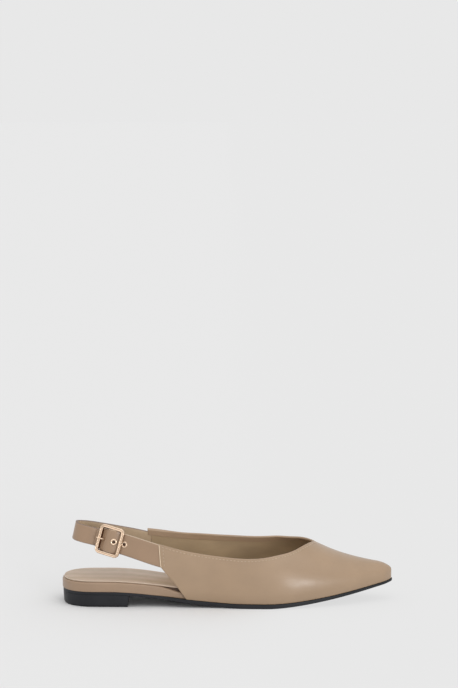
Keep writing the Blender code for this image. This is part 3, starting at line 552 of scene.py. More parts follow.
class Finish:
    """A Principled material with helpers for texture nodes in the object's own metres."""

    def __init__(self, name, colour, roughness, **sockets):
        self.material = bpy.data.materials.new(name)
        self.material.use_nodes = True
        self.nodes = self.material.node_tree.nodes
        self.links = self.material.node_tree.links
        self.shader = self.nodes["Principled BSDF"]
        self.feed(self.shader, Base_Color=(*colour, 1), Roughness=roughness, **sockets)
        self.place = self.nodes.new("ShaderNodeTexCoord").outputs["Object"]
        self.height = None

    def feed(self, node, **sockets):
        """Sets a node's inputs, or links them where the value is another node's output."""
        for name, value in sockets.items():
            socket = node.inputs[name.replace("_", " ")]
            if isinstance(value, bpy.types.NodeSocket):
                self.links.new(value, socket)
            else:
                socket.default_value = value
        return node

    def add(self, kind, **sockets):
        return self.feed(self.nodes.new("ShaderNode" + kind), **sockets)

    def noise(self, size, detail=3.0, stretch=None):
        """Noise whose features are about that many millimetres across."""
        place = self.place
        if stretch:
            place = self.add("Mapping", Scale=stretch, Vector=place).outputs["Vector"]
        return self.add("TexNoise", Scale=1 / (size * MM), Detail=detail, Vector=place).outputs["Fac"]

    def cells(self, size):
        """Rounded cells like leather's grain, about that many millimetres across."""
        node = self.nodes.new("ShaderNodeTexVoronoi")
        node.feature = "SMOOTH_F1"
        self.feed(node, Scale=1 / (size * MM), Smoothness=CELL_SMOOTHNESS, Vector=self.place)
        return node.outputs["Distance"]

    def waves(self, size, direction, distortion=0.0):
        """Ribs that many millimetres apart, wavy where distorted."""
        scale = 1 / (size * MM) / WAVES_PER_UNIT
        node = self.add("TexWave", Scale=scale, Distortion=distortion, Vector=self.place)
        node.bands_direction = direction
        return node.outputs["Fac"]

    def ramp(self, value, low, high, darker, lighter):
        """Colours the surface between two colours as a texture goes from low to high."""
        node = self.add("ValToRGB", Fac=value)
        for end, position, colour in zip(node.color_ramp.elements, (low, high), (darker, lighter)):
            end.position = position
            end.color = (*colour, 1)
        self.feed(self.shader, Base_Color=node.outputs["Color"])

    def span(self, value, low, high, start, stop):
        """Takes values from low to high over to the range from start to stop."""
        return self.add("MapRange", From_Min=low, From_Max=high, To_Min=start, To_Max=stop, Value=value)

    def roughness(self, value, smooth, rough):
        self.feed(self.shader, Roughness=self.span(value, 0.3, 0.7, smooth, rough).outputs["Result"])

    def bump(self, value, depth, strength=1.0):
        """Relief of a texture, that many millimetres deep, over any earlier relief."""
        node = self.add("Bump", Distance=depth * MM, Strength=strength, Height=value)
        if self.height is not None:
            self.feed(node, Normal=self.height)
        self.height = node.outputs["Normal"]
        self.feed(self.shader, Normal=self.height)


def shade(colour, factor):
    return tuple(channel * factor for channel in colour)


CELL_SMOOTHNESS = 0.6
WAVES_PER_UNIT = 3.1831

TAN = (0.342, 0.234, 0.147)
STRAP_TAN = (0.318, 0.206, 0.128)
BAND_TAN = (0.303, 0.202, 0.130)
KHAKI = (0.385, 0.281, 0.168)
SOCK_TAUPE = (0.440, 0.335, 0.250)
CHARCOAL = (0.016, 0.017, 0.020)
ROSE = (0.80, 0.61, 0.45)


def leather(name, colour, roughness=0.37):
    """Smooth full-grain calf: fine pebble grain, faint clouding and a low sheen."""
    made = Finish(name, colour, roughness, Coat_Weight=0.26, Coat_Roughness=0.22)
    made.ramp(made.noise(22, 4), 0.25, 0.75, shade(colour, 0.93), shade(colour, 1.06))
    made.roughness(made.noise(6, 5), roughness - 0.05, roughness + 0.06)
    made.bump(made.noise(9, 2), 0.05, 0.5)
    made.bump(made.cells(0.75), 0.035, 0.55)
    made.bump(made.noise(0.28, 2), 0.012, 0.5)
    return made.material


def lining_leather(name, colour):
    """Unfinished lining: softer, duller and a little blotched along its length."""
    made = Finish(name, colour, 0.62)
    made.ramp(made.noise(14, 5, (0.5, 1, 1.6)), 0.25, 0.78, shade(colour, 0.86), shade(colour, 1.10))
    made.bump(made.noise(0.5, 4), 0.05, 0.6)
    made.bump(made.cells(1.1), 0.03, 0.4)
    return made.material


def sock_leather(name, colour):
    """Smooth sock lining with long soft streaks of painted sheen in its colour."""
    made = Finish(name, colour, 0.42, Coat_Weight=0.1, Coat_Roughness=0.3)
    # Lighter and darker streaks along the sock's colour: painted sheen
    made.ramp(made.waves(15, "Y", 2.2), 0.05, 0.95, (0.405, 0.298, 0.198), (0.470, 0.343, 0.248))
    made.roughness(made.noise(6, 4), 0.40, 0.50)
    made.bump(made.cells(0.8), 0.03, 0.45)
    return made.material


def sole_rubber(name, ribbed):
    """Charcoal sole: a fine matt mould grain, and low cross ribs where it meets the floor."""
    made = Finish(name, CHARCOAL, 0.48, Specular_IOR_Level=0.25)
    made.ramp(made.noise(18, 4), 0.3, 0.75, shade(CHARCOAL, 0.85), shade(CHARCOAL, 1.25))
    made.roughness(made.noise(3, 5), 0.40, 0.55)
    made.bump(made.noise(0.35, 3), 0.02, 0.6)
    if ribbed:
        made.bump(made.waves(2.0, "X"), 0.12, 0.35)
    return made.material


def rose_metal(name, colour, roughness):
    """Polished rose gold plate, a little clouded by handling."""
    made = Finish(name, colour, roughness, Metallic=1.0)
    made.ramp(made.noise(3, 3), 0.3, 0.75, shade(colour, 0.94), shade(colour, 1.03))
    made.roughness(made.noise(1.6, 4), roughness - 0.05, roughness + 0.07)
    made.bump(made.noise(2.2, 2), 0.01, 0.15)
    return made.material


def thread_fibre(name, colour):
    made = Finish(name, colour, 0.55, Sheen_Weight=0.25)
    made.ramp(made.noise(2.5, 3), 0.3, 0.75, shade(colour, 0.9), shade(colour, 1.1))
    made.bump(made.waves(0.28, "DIAGONAL"), 0.05, 0.7)
    return made.material


UPPER_LEATHER = leather("upper_leather", TAN)
STRAP_LEATHER = leather("strap_leather", STRAP_TAN, 0.42)
BAND_LEATHER = leather("band_leather", BAND_TAN, 0.44)
LINING_LEATHER = lining_leather("lining_leather", KHAKI)
SOCK_LEATHER = sock_leather("sock_leather", SOCK_TAUPE)
# Cut edge: raw leather's own pale colour, made paler still as a painted highlight
RAW_EDGE_AND_HIGHLIGHT = lining_leather("raw_edge_and_highlight", (0.70, 0.56, 0.40))
SOLE_FINISHES = [sole_rubber("sole_side", ribbed=False), sole_rubber("sole_tread", ribbed=True)]
METAL = rose_metal("rose_gold", ROSE, 0.28)
# The frame's groove and inner wall: rose gold darkened as painted shade
GROOVE_SHADE_METAL = rose_metal("rose_gold_groove_shade", (0.64, 0.45, 0.32), 0.34)
PAINTED_SHADE_METAL = rose_metal("rose_gold_painted_shade", (0.22, 0.115, 0.065), 0.45)
THREAD_TAN = thread_fibre("thread_tan", (0.49, 0.375, 0.258))
PAINTED_EDGE = lining_leather("painted_edge", (0.235, 0.170, 0.140))
# Near-black leather as painted shade in the eyelets' holes and on the footbed's core
HOLE_PAINTED_SHADE = lining_leather("hole_painted_shade", (0.085, 0.045, 0.025))
STRAP_LINING = lining_leather("strap_lining", (0.438, 0.326, 0.213))
# Front strap's upper edge, made lighter as a painted highlight from the light above
PAINTED_LIGHT_EDGE = leather("painted_light_edge", (0.50, 0.385, 0.275), 0.42)
# Dark leather painted on the strap as the shade beside the frame's bars
PAINTED_SHADE_LEATHER = leather("painted_shade_leather", (0.12, 0.06, 0.035))
SOCK_PIPING = leather("sock_piping", (0.56, 0.45, 0.35), 0.42)

# A strap's face, upper edge (lighter on the front strap, a painted highlight), back and lower edge, and
# the painted shade beside the frame's bars
STRAP_FINISHES = [STRAP_LEATHER, PAINTED_EDGE, STRAP_LINING, PAINTED_EDGE]
FRONT_STRAP_FINISHES = [STRAP_LEATHER, PAINTED_LIGHT_EDGE, STRAP_LINING, PAINTED_EDGE, PAINTED_SHADE_LEATHER]

# Upper: stations from the rear edge to the throat, and on to the tip of the toe
QUARTER_SHARES = clustered(96, end=1.5)
VAMP_SHARES = clustered(76, end=1.9)
TOP_DISTANCES = [0.5, 0.9, 1.5, 2.1, 2.8, 3.7, FACING_WIDTH, FACING_WIDTH + 0.25, 6.2, 7.8]
FACING_ROWS = 7
LINING_START = 2
LINING_DISTANCES = [FACING_WIDTH + 0.3, FACING_WIDTH + 0.8, 6.5, 8.0]
VAMP_LINING_DISTANCES = [0.0, 0.8, 2.5, 4.0]
LOWER_ROWS = 30
EDGE_STEPS = 6
STRAP_COLUMNS = 6
REAR_ROLL = 0.3
BACKWARD = np.array([-1.0, 0.0, 0.0])
LAST_QUARTER = len(QUARTER_SHARES) - 1
STATIONS = LAST_QUARTER + len(VAMP_SHARES)


def upper_x(side, height_share, station, inset=0.0):
    throat = THROAT * LENGTH
    if station <= LAST_QUARTER:
        return blend(rear_edge(side, height_share), throat, QUARTER_SHARES[station])
    return blend(throat, LENGTH + UPPER_MARGIN - inset, VAMP_SHARES[station - LAST_QUARTER])


def open_half(x, side):
    """Half the width of the collar's opening at a station."""
    if x >= THROAT * LENGTH:
        return 0.0
    return section_sizes(x, 0.0)[1] * OPEN_OF[side](x / LENGTH)


def wall_shares(side, station, distances):
    """Height shares of a station's rows: some at set distances from its top, then even ones."""
    x = min(upper_x(side, 1.0, station), LENGTH + UPPER_MARGIN - 0.05)
    centre, widest, tuck, base, rise, height = section_sizes(x, 0.0)
    shares = np.linspace(1.0, LOWER_SHARE, 40)
    angles = top_angle(x, side) * (shares - LOWER_SHARE) / (1 - LOWER_SHARE)
    across = np.diff(widest * np.cos(angles))
    up = np.diff((height - rise) * np.sin(angles))
    lengths = np.concatenate([[0.0], np.cumsum(np.hypot(across, up))])
    fit = min(1.0, 0.6 * lengths[-1] / distances[-1])
    near = [float(np.interp(d * fit, lengths, shares)) for d in distances]
    return near + [near[-1] * (1 - k / LOWER_ROWS) for k in range(1, LOWER_ROWS + 1)]


def upper_column(side, station, distances, depth_of):
    """Points down the wall at a station; depth_of gives how far inside it each row lies."""
    column = []
    for row, share in enumerate(wall_shares(side, station, distances)):
        depth = depth_of(row, upper_x(side, share, station))
        x = upper_x(side, share, station, min(depth, UPPER_WALL))
        column.append(section_point(x, side, share, depth))
    return column


def top_distances(side, station):
    """Row distances whose first eases to nothing where the topline runs out into the ridge."""
    x = upper_x(side, 1.0, station)
    ease = smooth_step(open_half(x, side) / TOPLINE_FADES)
    first, second = TOP_DISTANCES[0] * ease, TOP_DISTANCES[1] * blend(0.35, 1.0, ease)
    return [first, second] + TOP_DISTANCES[2:]


def has_facing(x):
    return x < THROAT * LENGTH + FACING_WIDTH


def roll_edge(outer, inner, direction, height):
    """Points of a half round edge between an outer and an inner point."""
    points = []
    for k in range(1, EDGE_STEPS):
        turn = math.pi * k / EDGE_STEPS
        points.append(blend(outer, inner, (1 - math.cos(turn)) / 2) + direction * height * math.sin(turn))
    return points


def topline_directions(tops, outers, inners):
    """At each station of a topline, the direction in the wall that leads out of it."""
    directions = []
    for k in range(len(tops) - 1):
        along = tops[k + 1] - tops[max(k - 1, 0)]
        out = unit(np.cross(along, outers[k] - inners[k]))
        directions.append(out if out[2] > 0 or out[0] < -0.5 else -out)
    directions.append(BACKWARD)
    return directions


def build_upper_leather():
    """Outer leather with its folded topline and the facing inside it, as one closed wall."""
    shape = Shape()
    collar = range(LAST_QUARTER + 1)
    for side in (-1, 1):

        def inner_depth(row, x):
            wall = wall_thickness(x, side)
            return wall if row < FACING_ROWS and has_facing(x) else wall - FACING_STEP - LINING_ROOM

        outer = []
        inner = []
        for station in range(STATIONS):
            distances = top_distances(side, station)
            outer.append(upper_column(side, station, distances, lambda row, x: 0.0))
            inner.append(upper_column(side, station, distances, inner_depth))
        tops = [section_point(upper_x(side, 1.0, k), side, 1.0) for k in collar]
        ways = topline_directions(tops, [outer[k][0] for k in collar], [inner[k][0] for k in collar])
        outside = [shape.add_row(column) for column in outer]
        inside = [shape.add_row(column) for column in inner]
        lips = []
        for k in collar:
            roll = shape.add_row(roll_edge(outer[k][0], inner[k][0], ways[k], TOP_DISTANCES[0]))
            lips.append([outside[k][0]] + roll + [inside[k][0]])
        shape.skin(outside)
        shape.skin(inside)
        shape.skin(lips)
        shape.bridge([column[-1] for column in outside], [column[-1] for column in inside])
        rear = lips[:1]
        for row in range(1, len(outside[0])):
            first, last = outside[0][row], inside[0][row]
            edge = roll_edge(shape.points[first], shape.points[last], BACKWARD, REAR_ROLL)
            rear.append([first] + shape.add_row(edge) + [last])
        shape.skin(rear)
        shape.fill(rear[-1])
    shape.make("upper_leather", [UPPER_LEATHER], "upper")


def build_upper_lining():
    """Lining below the facing, a thin layer on the inside of the wall."""
    shape = Shape()
    for side in (-1, 1):

        def face(row, x):
            return wall_thickness(x, side) - FACING_STEP

        def back(row, x):
            return face(row, x) - LINING_ROOM + LINING_LAP

        outer = []
        inner = []
        for station in range(LINING_START, STATIONS):
            faced = has_facing(upper_x(side, 1.0, station))
            distances = LINING_DISTANCES if faced else VAMP_LINING_DISTANCES
            outer.append(shape.add_row(upper_column(side, station, distances, back)))
            inner.append(shape.add_row(upper_column(side, station, distances, face)))
        shape.skin(outer)
        shape.skin(inner)
        shape.bridge([column[-1] for column in outer], [column[-1] for column in inner])
        shape.bridge(outer[0], inner[0])
        for k in range(len(outer) - 1):
            if has_facing(upper_x(side, 1.0, LINING_START + k)):
                shape.bridge([outer[k][0], inner[k][0]], [outer[k + 1][0], inner[k + 1][0]])
    shape.make("upper_lining", [LINING_LEATHER], "upper")


def section_arc(x):
    """Angles round a section and the length along it from the ridge, for one side."""
    centre, widest, tuck, base, rise, height = section_sizes(x, 0.0)
    angles = np.linspace(math.pi / 2, 0.0, 60)
    steps = np.hypot(np.diff(widest * np.cos(angles)), np.diff((height - rise) * np.sin(angles)))
    return angles, np.concatenate([[0.0], np.cumsum(steps)])


def arc_point(x, arc, lift=0.0):
    """Point on the upper at a station and a signed length from the ridge, minus on the outer side."""
    angles, lengths = section_arc(x)
    side = -1 if arc < 0 else 1
    angle = float(np.interp(abs(arc), lengths, angles))
    return wall_at_angle(x, side, angle, -lift)


def topline_plan():
    """The topline in the upper's own unrolled surface: place along the shoe and signed length."""
    plan = []
    for side in (-1, 1):
        run = []
        for station in range(LAST_QUARTER + 1):
            x = upper_x(side, 1.0, station)
            angles, lengths = section_arc(x)
            arc = float(np.interp(-top_angle(x, side), -angles, lengths))
            run.append((x, side * arc))
        plan += run if side < 0 else run[:-1][::-1]
    return np.array(plan)


def offset_plan(plan, distance):
    """The line that runs a distance ahead of or below the topline."""
    moved = []
    for k in range(1, len(plan) - 1):
        along = plan[k + 1] - plan[k - 1]
        along /= np.linalg.norm(along)
        moved.append(plan[k] + np.array([-along[1], along[0]]) * -distance)
    kept = []
    for point in moved:
        if np.min(np.hypot(*(plan - point).T)) > distance * 0.985:
            kept.append(point)
    return np.array(kept)


def evenly(points, pitch):
    """Points along a line at an even pitch, from half a pitch past its start."""
    steps = np.linalg.norm(np.diff(points, axis=0), axis=1)
    places = np.concatenate([[0.0], np.cumsum(steps)])
    count = int(places[-1] / pitch)
    at = [pitch * (k + 0.5) for k in range(count)]
    columns = [np.interp(at, places, points[:, c]) for c in range(points.shape[1])]
    return np.array(columns).T


# A stitch's rings: share of its length, width and lift, both as shares of the thread's radius
STITCH_FORM = [
    (0.0, 0.35, -0.9), (0.12, 0.8, -0.1), (0.32, 1.0, 0.35),
    (0.68, 1.0, 0.35), (0.88, 0.8, -0.1), (1.0, 0.35, -0.9),
]


def add_stitch(shape, first, last, up):
    """One stitch: a short thread whose ends sink into the leather."""
    across = unit(np.cross(up, unit(last - first)))
    rings = []
    for share, width, lift in STITCH_FORM:
        middle = blend(first, last, share) + up * lift * THREAD
        rings.append(circle(middle, across, up, THREAD * width, 8))
    shape.tube(rings)


def build_topline_stitches():
    shape = Shape()
    line = evenly(offset_plan(topline_plan(), STITCH_INSET), STITCH_PITCH)
    for k, at in enumerate(line):
        half = way_at(line, k) * STITCH_LENGTH / 2
        up = unit(arc_point(*at, lift=0.5) - arc_point(*at))
        add_stitch(shape, arc_point(*(at - half)), arc_point(*(at + half)), up)
    shape.make("topline_stitches", [THREAD_TAN], slot="upper")


def edge_line(side, ahead, low, high, count=60):
    """Points on the quarter's face a distance ahead of its rear edge, between two height shares."""
    points = []
    for k in range(count + 1):
        share = blend(low, high, k / count)
        points.append(section_point(rear_edge(side, share) + ahead, side, share))
    return np.array(points)


def build_seam_stitches():
    """Stitches up both quarters' rear ends, over the straps' tongues."""
    shape = Shape()
    for side in (-1, 1):
        line = evenly(edge_line(side, SEAM_STITCH, STRAP_FOOT + 0.02, 0.95), STITCH_PITCH)
        for k, at in enumerate(line):
            along = way_at(line, k)
            out = unit(np.cross(along, np.array([1.0, 0, 0])) * side)
            out = out if out[1] * side > 0 else -out
            half = along * STITCH_LENGTH / 2
            add_stitch(shape, at - half, at + half, out)
    shape.make("seam_stitches", [THREAD_TAN], slot="upper")


def add_tube(shape, points, radius, count=12):
    """Rings of a round wire through points; the radius may be a list."""
    rings = []
    side = np.array([0.3, 0.9, 0.3])
    for k, at in enumerate(points):
        along = way_at(points, k)
        side = np.cross(along, side) if k == 0 else side
        side = unit(side - along * side.dot(along))
        size = radius[k] if isinstance(radius, list) else radius
        rings.append(circle(at, side, np.cross(along, side), size, count))
    shape.tube(rings)


def build_raw_edges():
    """Cut edge of the quarter where it lies over the strap, pale from its own raw leather and paler still
    as a painted highlight.
    """
    shape = Shape()
    for side in (-1, 1):
        add_tube(shape, edge_line(side, 0.0, STRAP_FOOT, 0.985, 40), RAW_EDGE_RADIUS, 10)
    shape.make("quarter_cut_edges", [RAW_EDGE_AND_HIGHLIGHT], slot="upper")


def slab(name, materials, rows, stations, node, columns=14, flat_front=None, top_band=0):
    """A lens of sole: an outline lofted through side rows of (margin at x, height at x).

    top_band is the material number of the highest band of its side.
    """
    shape = Shape()
    rings = []
    for share in stations:
        sides = {-1: [], 1: []}
        for margin_at, height_at in rows:
            front = LENGTH + margin_at(LENGTH) if flat_front is None else flat_front(height_at)
            x = blend(-margin_at(0.0), front, share)
            end = 0.0 if x < LENGTH / 2 else LENGTH
            centre, half = outline(x, margin_at(x), margin_at(end))
            for side in (-1, 1):
                sides[side].append(np.array([x, centre + side * half, height_at(x)]))
        under = [blend(sides[-1][0], sides[1][0], k / columns) for k in range(1, columns)]
        over = [blend(sides[1][-1], sides[-1][-1], k / columns) for k in range(1, columns)]
        rings.append(shape.add_row(sides[-1][::-1] + under + sides[1] + over))
    plain = [0] * (len(rows) - 2)
    underside = 0 if top_band else len(materials) - 1
    numbers = [top_band] + plain + [underside] * columns + plain + [top_band] + [0] * columns
    shape.skin(rings, closed=True, number=numbers)
    if flat_front is not None:
        shape.fill(rings[-1])
    shape.make(name, materials, node)


def constant(value):
    return lambda x: value


def shifted(margin_at, height_at, inset, rise):
    """A row of a sole's side, moved inward and up from two curves."""
    return lambda x: margin_at(x) - inset, lambda x: height_at(x) + rise


def corner_steps(radius, share):
    """How far a rounded corner lies inside its two sides, at a share of its quarter turn."""
    turn = math.pi / 2 * share
    return radius * (1 - math.sin(turn)), radius * (1 - math.cos(turn))


def rounded_rows(margin_at, low_at, high_at, low_radius, high_radius, steps=5):
    """Rows of a sole's edge with both of its corners rounded off."""
    shares = [k / steps for k in range(steps + 1)]
    rows = []
    for inset, rise in [corner_steps(low_radius, share) for share in shares]:
        rows.append(shifted(margin_at, low_at, inset, rise))
    for drop, inset in [corner_steps(high_radius, share) for share in shares]:
        rows.append(shifted(margin_at, high_at, inset, -drop))
    return rows


def both_ends(count):
    rear = [0.5 * s for s in clustered(count // 2, start=1.9)]
    front = [0.5 + 0.5 * s for s in clustered(count // 2, end=1.9)]
    return rear + front[1:]


def outsole_margin(x):
    return blend(HEEL_EDGE, SOLE_MARGIN, edge_growth(x))


def build_outsole():
    rows = rounded_rows(
        outsole_margin, sole_bottom, lambda x: sole_bottom(x) + outsole_thickness(x), 0.5, 0.25
    )
    slab("outsole_rubber", SOLE_FINISHES, rows, both_ends(150), "outsole", 16)


def build_heel():
    top = HEEL_HEIGHT - GAP

    def margin(height):
        return HEEL_EDGE - HEEL_TAPER * (1 - min(1.0, height / top))

    def front(height_at):
        return HEEL_LENGTH + HEEL_BREAST_SLANT * min(1.0, height_at(HEEL_LENGTH) / top)

    rows = []
    for inset, rise in [corner_steps(HEEL_CORNER, k / 5) for k in range(6)]:
        rows.append((constant(margin(rise) - inset), constant(rise)))
    for height in HEEL_LEVELS:
        rows.append((constant(margin(height)), constant(height)))
    rows.append((constant(HEEL_EDGE), lambda x: sole_bottom(x) + 0.02))
    slab("heel_block", SOLE_FINISHES, rows, clustered(60, start=1.9), "heel", flat_front=front)


def build_footbed_cover():
    """Leather wrapped round the footbed's edge, with a soft rounded shoulder and a core whose wall is
    painted dark as shade.
    """

    def edge_top(x):
        """Falls away from the sock where the cover runs into the upper."""
        fallen = smooth_step((x - COVER_DROP_FROM) / (COVER_DROP_TO - COVER_DROP_FROM))
        return footbed_top(x) - COVER_DROP * fallen

    def margin(x):
        return BAND_SWELL * smooth_step(1 - x / BAND_SWELL_REACH) - 0.05

    rows = rounded_rows(margin, lambda x: feather(x) - 0.25, edge_top, 0.6, 1.5, 7)
    rows.append((constant(-CORE_INSET), edge_top))
    rows.append((constant(-CORE_INSET), lambda x: footbed_top(x) + 0.01))
    slab("footbed_cover", [BAND_LEATHER, HOLE_PAINTED_SHADE], rows, both_ends(170), "footbed", 10, top_band=1)


def sock_top(x):
    return footbed_top(x) + GAP + SOCK


def build_sock():
    """Sock lining with a shallow line pressed in along its edge."""
    margin = constant(-SOCK_INSET)
    rows = rounded_rows(margin, lambda x: footbed_top(x) + 0.12, sock_top, 0.3, 0.55, 4)
    rows += [shifted(margin, sock_top, inset, -drop) for inset, drop in SOCK_PRESS_LINE]
    slab("sock_lining", [SOCK_LEATHER], rows, both_ends(150), "sock", 24)


def build_sock_piping():
    """Narrow pale piping round the sock's edge, as far as it can be seen."""
    sides = {-1: [], 1: []}
    for share in clustered(70, start=2.2):
        x = blend(SOCK_INSET, PIPING_REACH, share)
        centre, half = outline(x, -SOCK_INSET)
        for side in (-1, 1):
            sides[side].append(np.array([x, centre + side * half, sock_top(x) - PIPING]))
    shape = Shape()
    add_tube(shape, sides[-1][:0:-1] + sides[1], PIPING, 10)
    shape.make("sock_piping", [SOCK_PIPING], "sock")


def wall_point(x, side, z):
    """Point in the middle of the quarter's end wall at a place and level."""
    share = share_at_height(x, side, z)
    return (section_point(x, side, share) + section_point(x, side, share, QUARTER_END_WALL)) / 2


class Strap:
    """The strap's middle layer: a ruled surface between its two edges, by length along it."""

    def __init__(self):
        knots = strap_knots()
        middles = [(upper + lower) / 2 for upper, lower in knots]
        places = [0.0]
        for first, second in zip(middles, middles[1:]):
            places.append(places[-1] + float(np.linalg.norm(second - first)))
        self.upper = spline(places, [upper for upper, lower in knots])
        self.lower = spline(places, [lower for upper, lower in knots])
        self.end = places[-1]
        self.lateral_seam = places[1]
        self.medial_seam = places[-2]
        self.back = places[1 + len(SLING_OUTER) + len(SLING_BACK)]
        self.buckle = self.station_at(BUCKLE_PLACE * LENGTH)

    def middle(self, s):
        return (self.upper(s) + self.lower(s)) / 2

    def station_at(self, x):
        """Length along the strap at which its outer-side run reaches a place along the shoe."""
        low, high = 0.0, self.back
        for _ in range(40):
            half_way = (low + high) / 2
            if self.middle(half_way)[0] > x:
                low = half_way
            else:
                high = half_way
        return (low + high) / 2

    def frame(self, s):
        """Middle point, direction towards the toe, outward, up its width, and the width."""
        along = unit(self.middle(max(s - 0.5, 0.0)) - self.middle(min(s + 0.5, self.end)))
        across = self.upper(s) - self.lower(s)
        across = across - along * across.dot(along)
        width = np.linalg.norm(across)
        across = across / width
        return self.middle(s), along, np.cross(along, across), across, width

    def square_frame(self, s):
        """Middle point, direction towards the toe, outward and up, squared to the ruled edges."""
        middle, along, outward, across, width = self.frame(s)
        up = unit(self.upper(s) - self.lower(s))
        return middle, np.cross(up, outward), outward, up

    def point(self, s, level, width_share, extra=0.0):
        """Point at a length along, a level outward and a share of the half width."""
        middle, along, outward, across, width = self.frame(s)
        edge = (self.upper(s) - self.lower(s)) / 2
        return middle + outward * level + edge * width_share * (1 + 2 * extra / width)


def strap_knots():
    """Upper and lower edge of the strap at each knot, from outer quarter to inner quarter."""

    def from_table(entry, side):
        share, reach, height = entry
        return np.array([share * LENGTH, side * reach * HEEL_WIDTH, height * SLING_HEIGHT])

    def quarter_end(side, seam_share, head):
        seam = seam_share * LENGTH
        levels = [section_point(seam, side, share)[2] for share in (head, STRAP_FOOT)]
        knots = []
        for past in (TONGUE_RUN, 0.0):
            knots.append([wall_point(seam + past, side, z - STRAP_FALL * past) for z in levels])
        return knots

    outer_rows = SLING_OUTER[::-1] + SLING_BACK[::-1]
    inner_rows = SLING_BACK[1:] + SLING_INNER
    outer_run = [[from_table(entry, -1) for entry in row] for row in outer_rows]
    inner_run = [[from_table(entry, 1) for entry in row] for row in inner_rows]
    outer_end = quarter_end(-1, LATERAL_SEAM, LATERAL_STRAP_HEAD)
    inner_end = quarter_end(1, MEDIAL_SEAM, MEDIAL_STRAP_HEAD)
    return outer_end + outer_run + inner_run + inner_end[::-1]


STRAP = Strap()


def path_samples(points, spacing):
    """Smooth path through chosen points, sampled at about that spacing."""
    places = [0.0]
    for first, second in zip(points, points[1:]):
        places.append(places[-1] + math.dist(first, second))
    curve = spline(places, [np.array(p, float) for p in points])
    count = max(2, round(places[-1] / spacing))
    return [tuple(curve(places[-1] * k / count)) for k in range(count + 1)]


def in_lengths(path):
    """A path table's shares as lengths."""
    return [(u * BUCKLE_LENGTH, level * BUCKLE_LENGTH) for u, level in path]


def arc(centre, radius, start, stop, count):
    """Points round a centre in the strap's section, by angles in degrees."""
    points = []
    for k in range(count + 1):
        angle = math.radians(blend(start, stop, k / count))
        points.append((centre[0] + radius * math.cos(angle), centre[1] + radius * math.sin(angle)))
    return points


def strap_ring(high, low, extra, edge):
    """Ring of points round a strap: its face, one edge, its back and the other edge."""
    ring = []
    for side, first, last in ((1, high, low), (-1, low, high)):
        for k in range(STRAP_COLUMNS + 1):
            ring.append(STRAP.point(*first, side * blend(-1, 1, k / STRAP_COLUMNS), extra - edge))
        for k in range(1, EDGE_STEPS):
            turn = math.pi * k / EDGE_STEPS
            at = blend(first, last, (1 - math.cos(turn)) / 2)
            ring.append(STRAP.point(*at, side, extra - edge + edge * math.sin(turn)))
    return ring


def make_strap(name, finishes, node, path, thicknesses, extras, tones):
    """A strap along a path of (length along, level), with its face's finish numbered by tones."""
    shape = Shape()
    path = [np.array(at) for at in path]
    rings = []
    for k, at in enumerate(path):
        along = way_at(path, k)
        normal = np.array([-along[1], along[0]]) * thicknesses[k] / 2
        edge = min(STRAP_EDGE, thicknesses[k] * STRAP_EDGE_SHARE)
        rings.append(shape.add_row(strap_ring(at + normal, at - normal, extras[k], edge)))
    rest = [1] * EDGE_STEPS + [2] * STRAP_COLUMNS + [3] * EDGE_STEPS
    for k, (first, second) in enumerate(zip(rings, rings[1:])):
        shape.bridge(first, second, True, [tones[k]] * STRAP_COLUMNS + rest)
    shape.fill(rings[0], rings[-1], number=1)
    return shape.make(name, finishes, node)


def carve(piece, cutter):
    """Takes a cutter's volume out of a piece's mesh for good."""
    boolean = piece.modifiers.new("cut", "BOOLEAN")
    boolean.solver = "EXACT"
    boolean.object = cutter
    made = piece.evaluated_get(bpy.context.evaluated_depsgraph_get())
    mesh = bpy.data.meshes.new_from_object(made)
    piece.modifiers.clear()
    piece.data = mesh
    bpy.data.objects.remove(cutter, do_unlink=True)


def layer_axis(u):
    """Point on the perforated strap's middle layer, with two sideways axes and its normal."""
    curve = path_samples(in_lengths(PERFORATED_PATH), 0.3)
    near = min(range(1, len(curve) - 1), key=lambda k: abs(curve[k][0] - u))
    run = [(STRAP.buckle - curve[near + k][0], curve[near + k][1]) for k in (-1, 0, 1)]
    before, here, after = [STRAP.point(s, level, 0.0) for s, level in run]
    sideways = unit(before - after)
    across = STRAP.frame(run[1][0])[3]
    return here, sideways, across, np.cross(sideways, across)


def ring_round(axis, radius, level, count):
    """Points round an axis at a level along it."""
    here, sideways, across, normal = axis
    return circle(here + normal * level, sideways, across, radius, count)


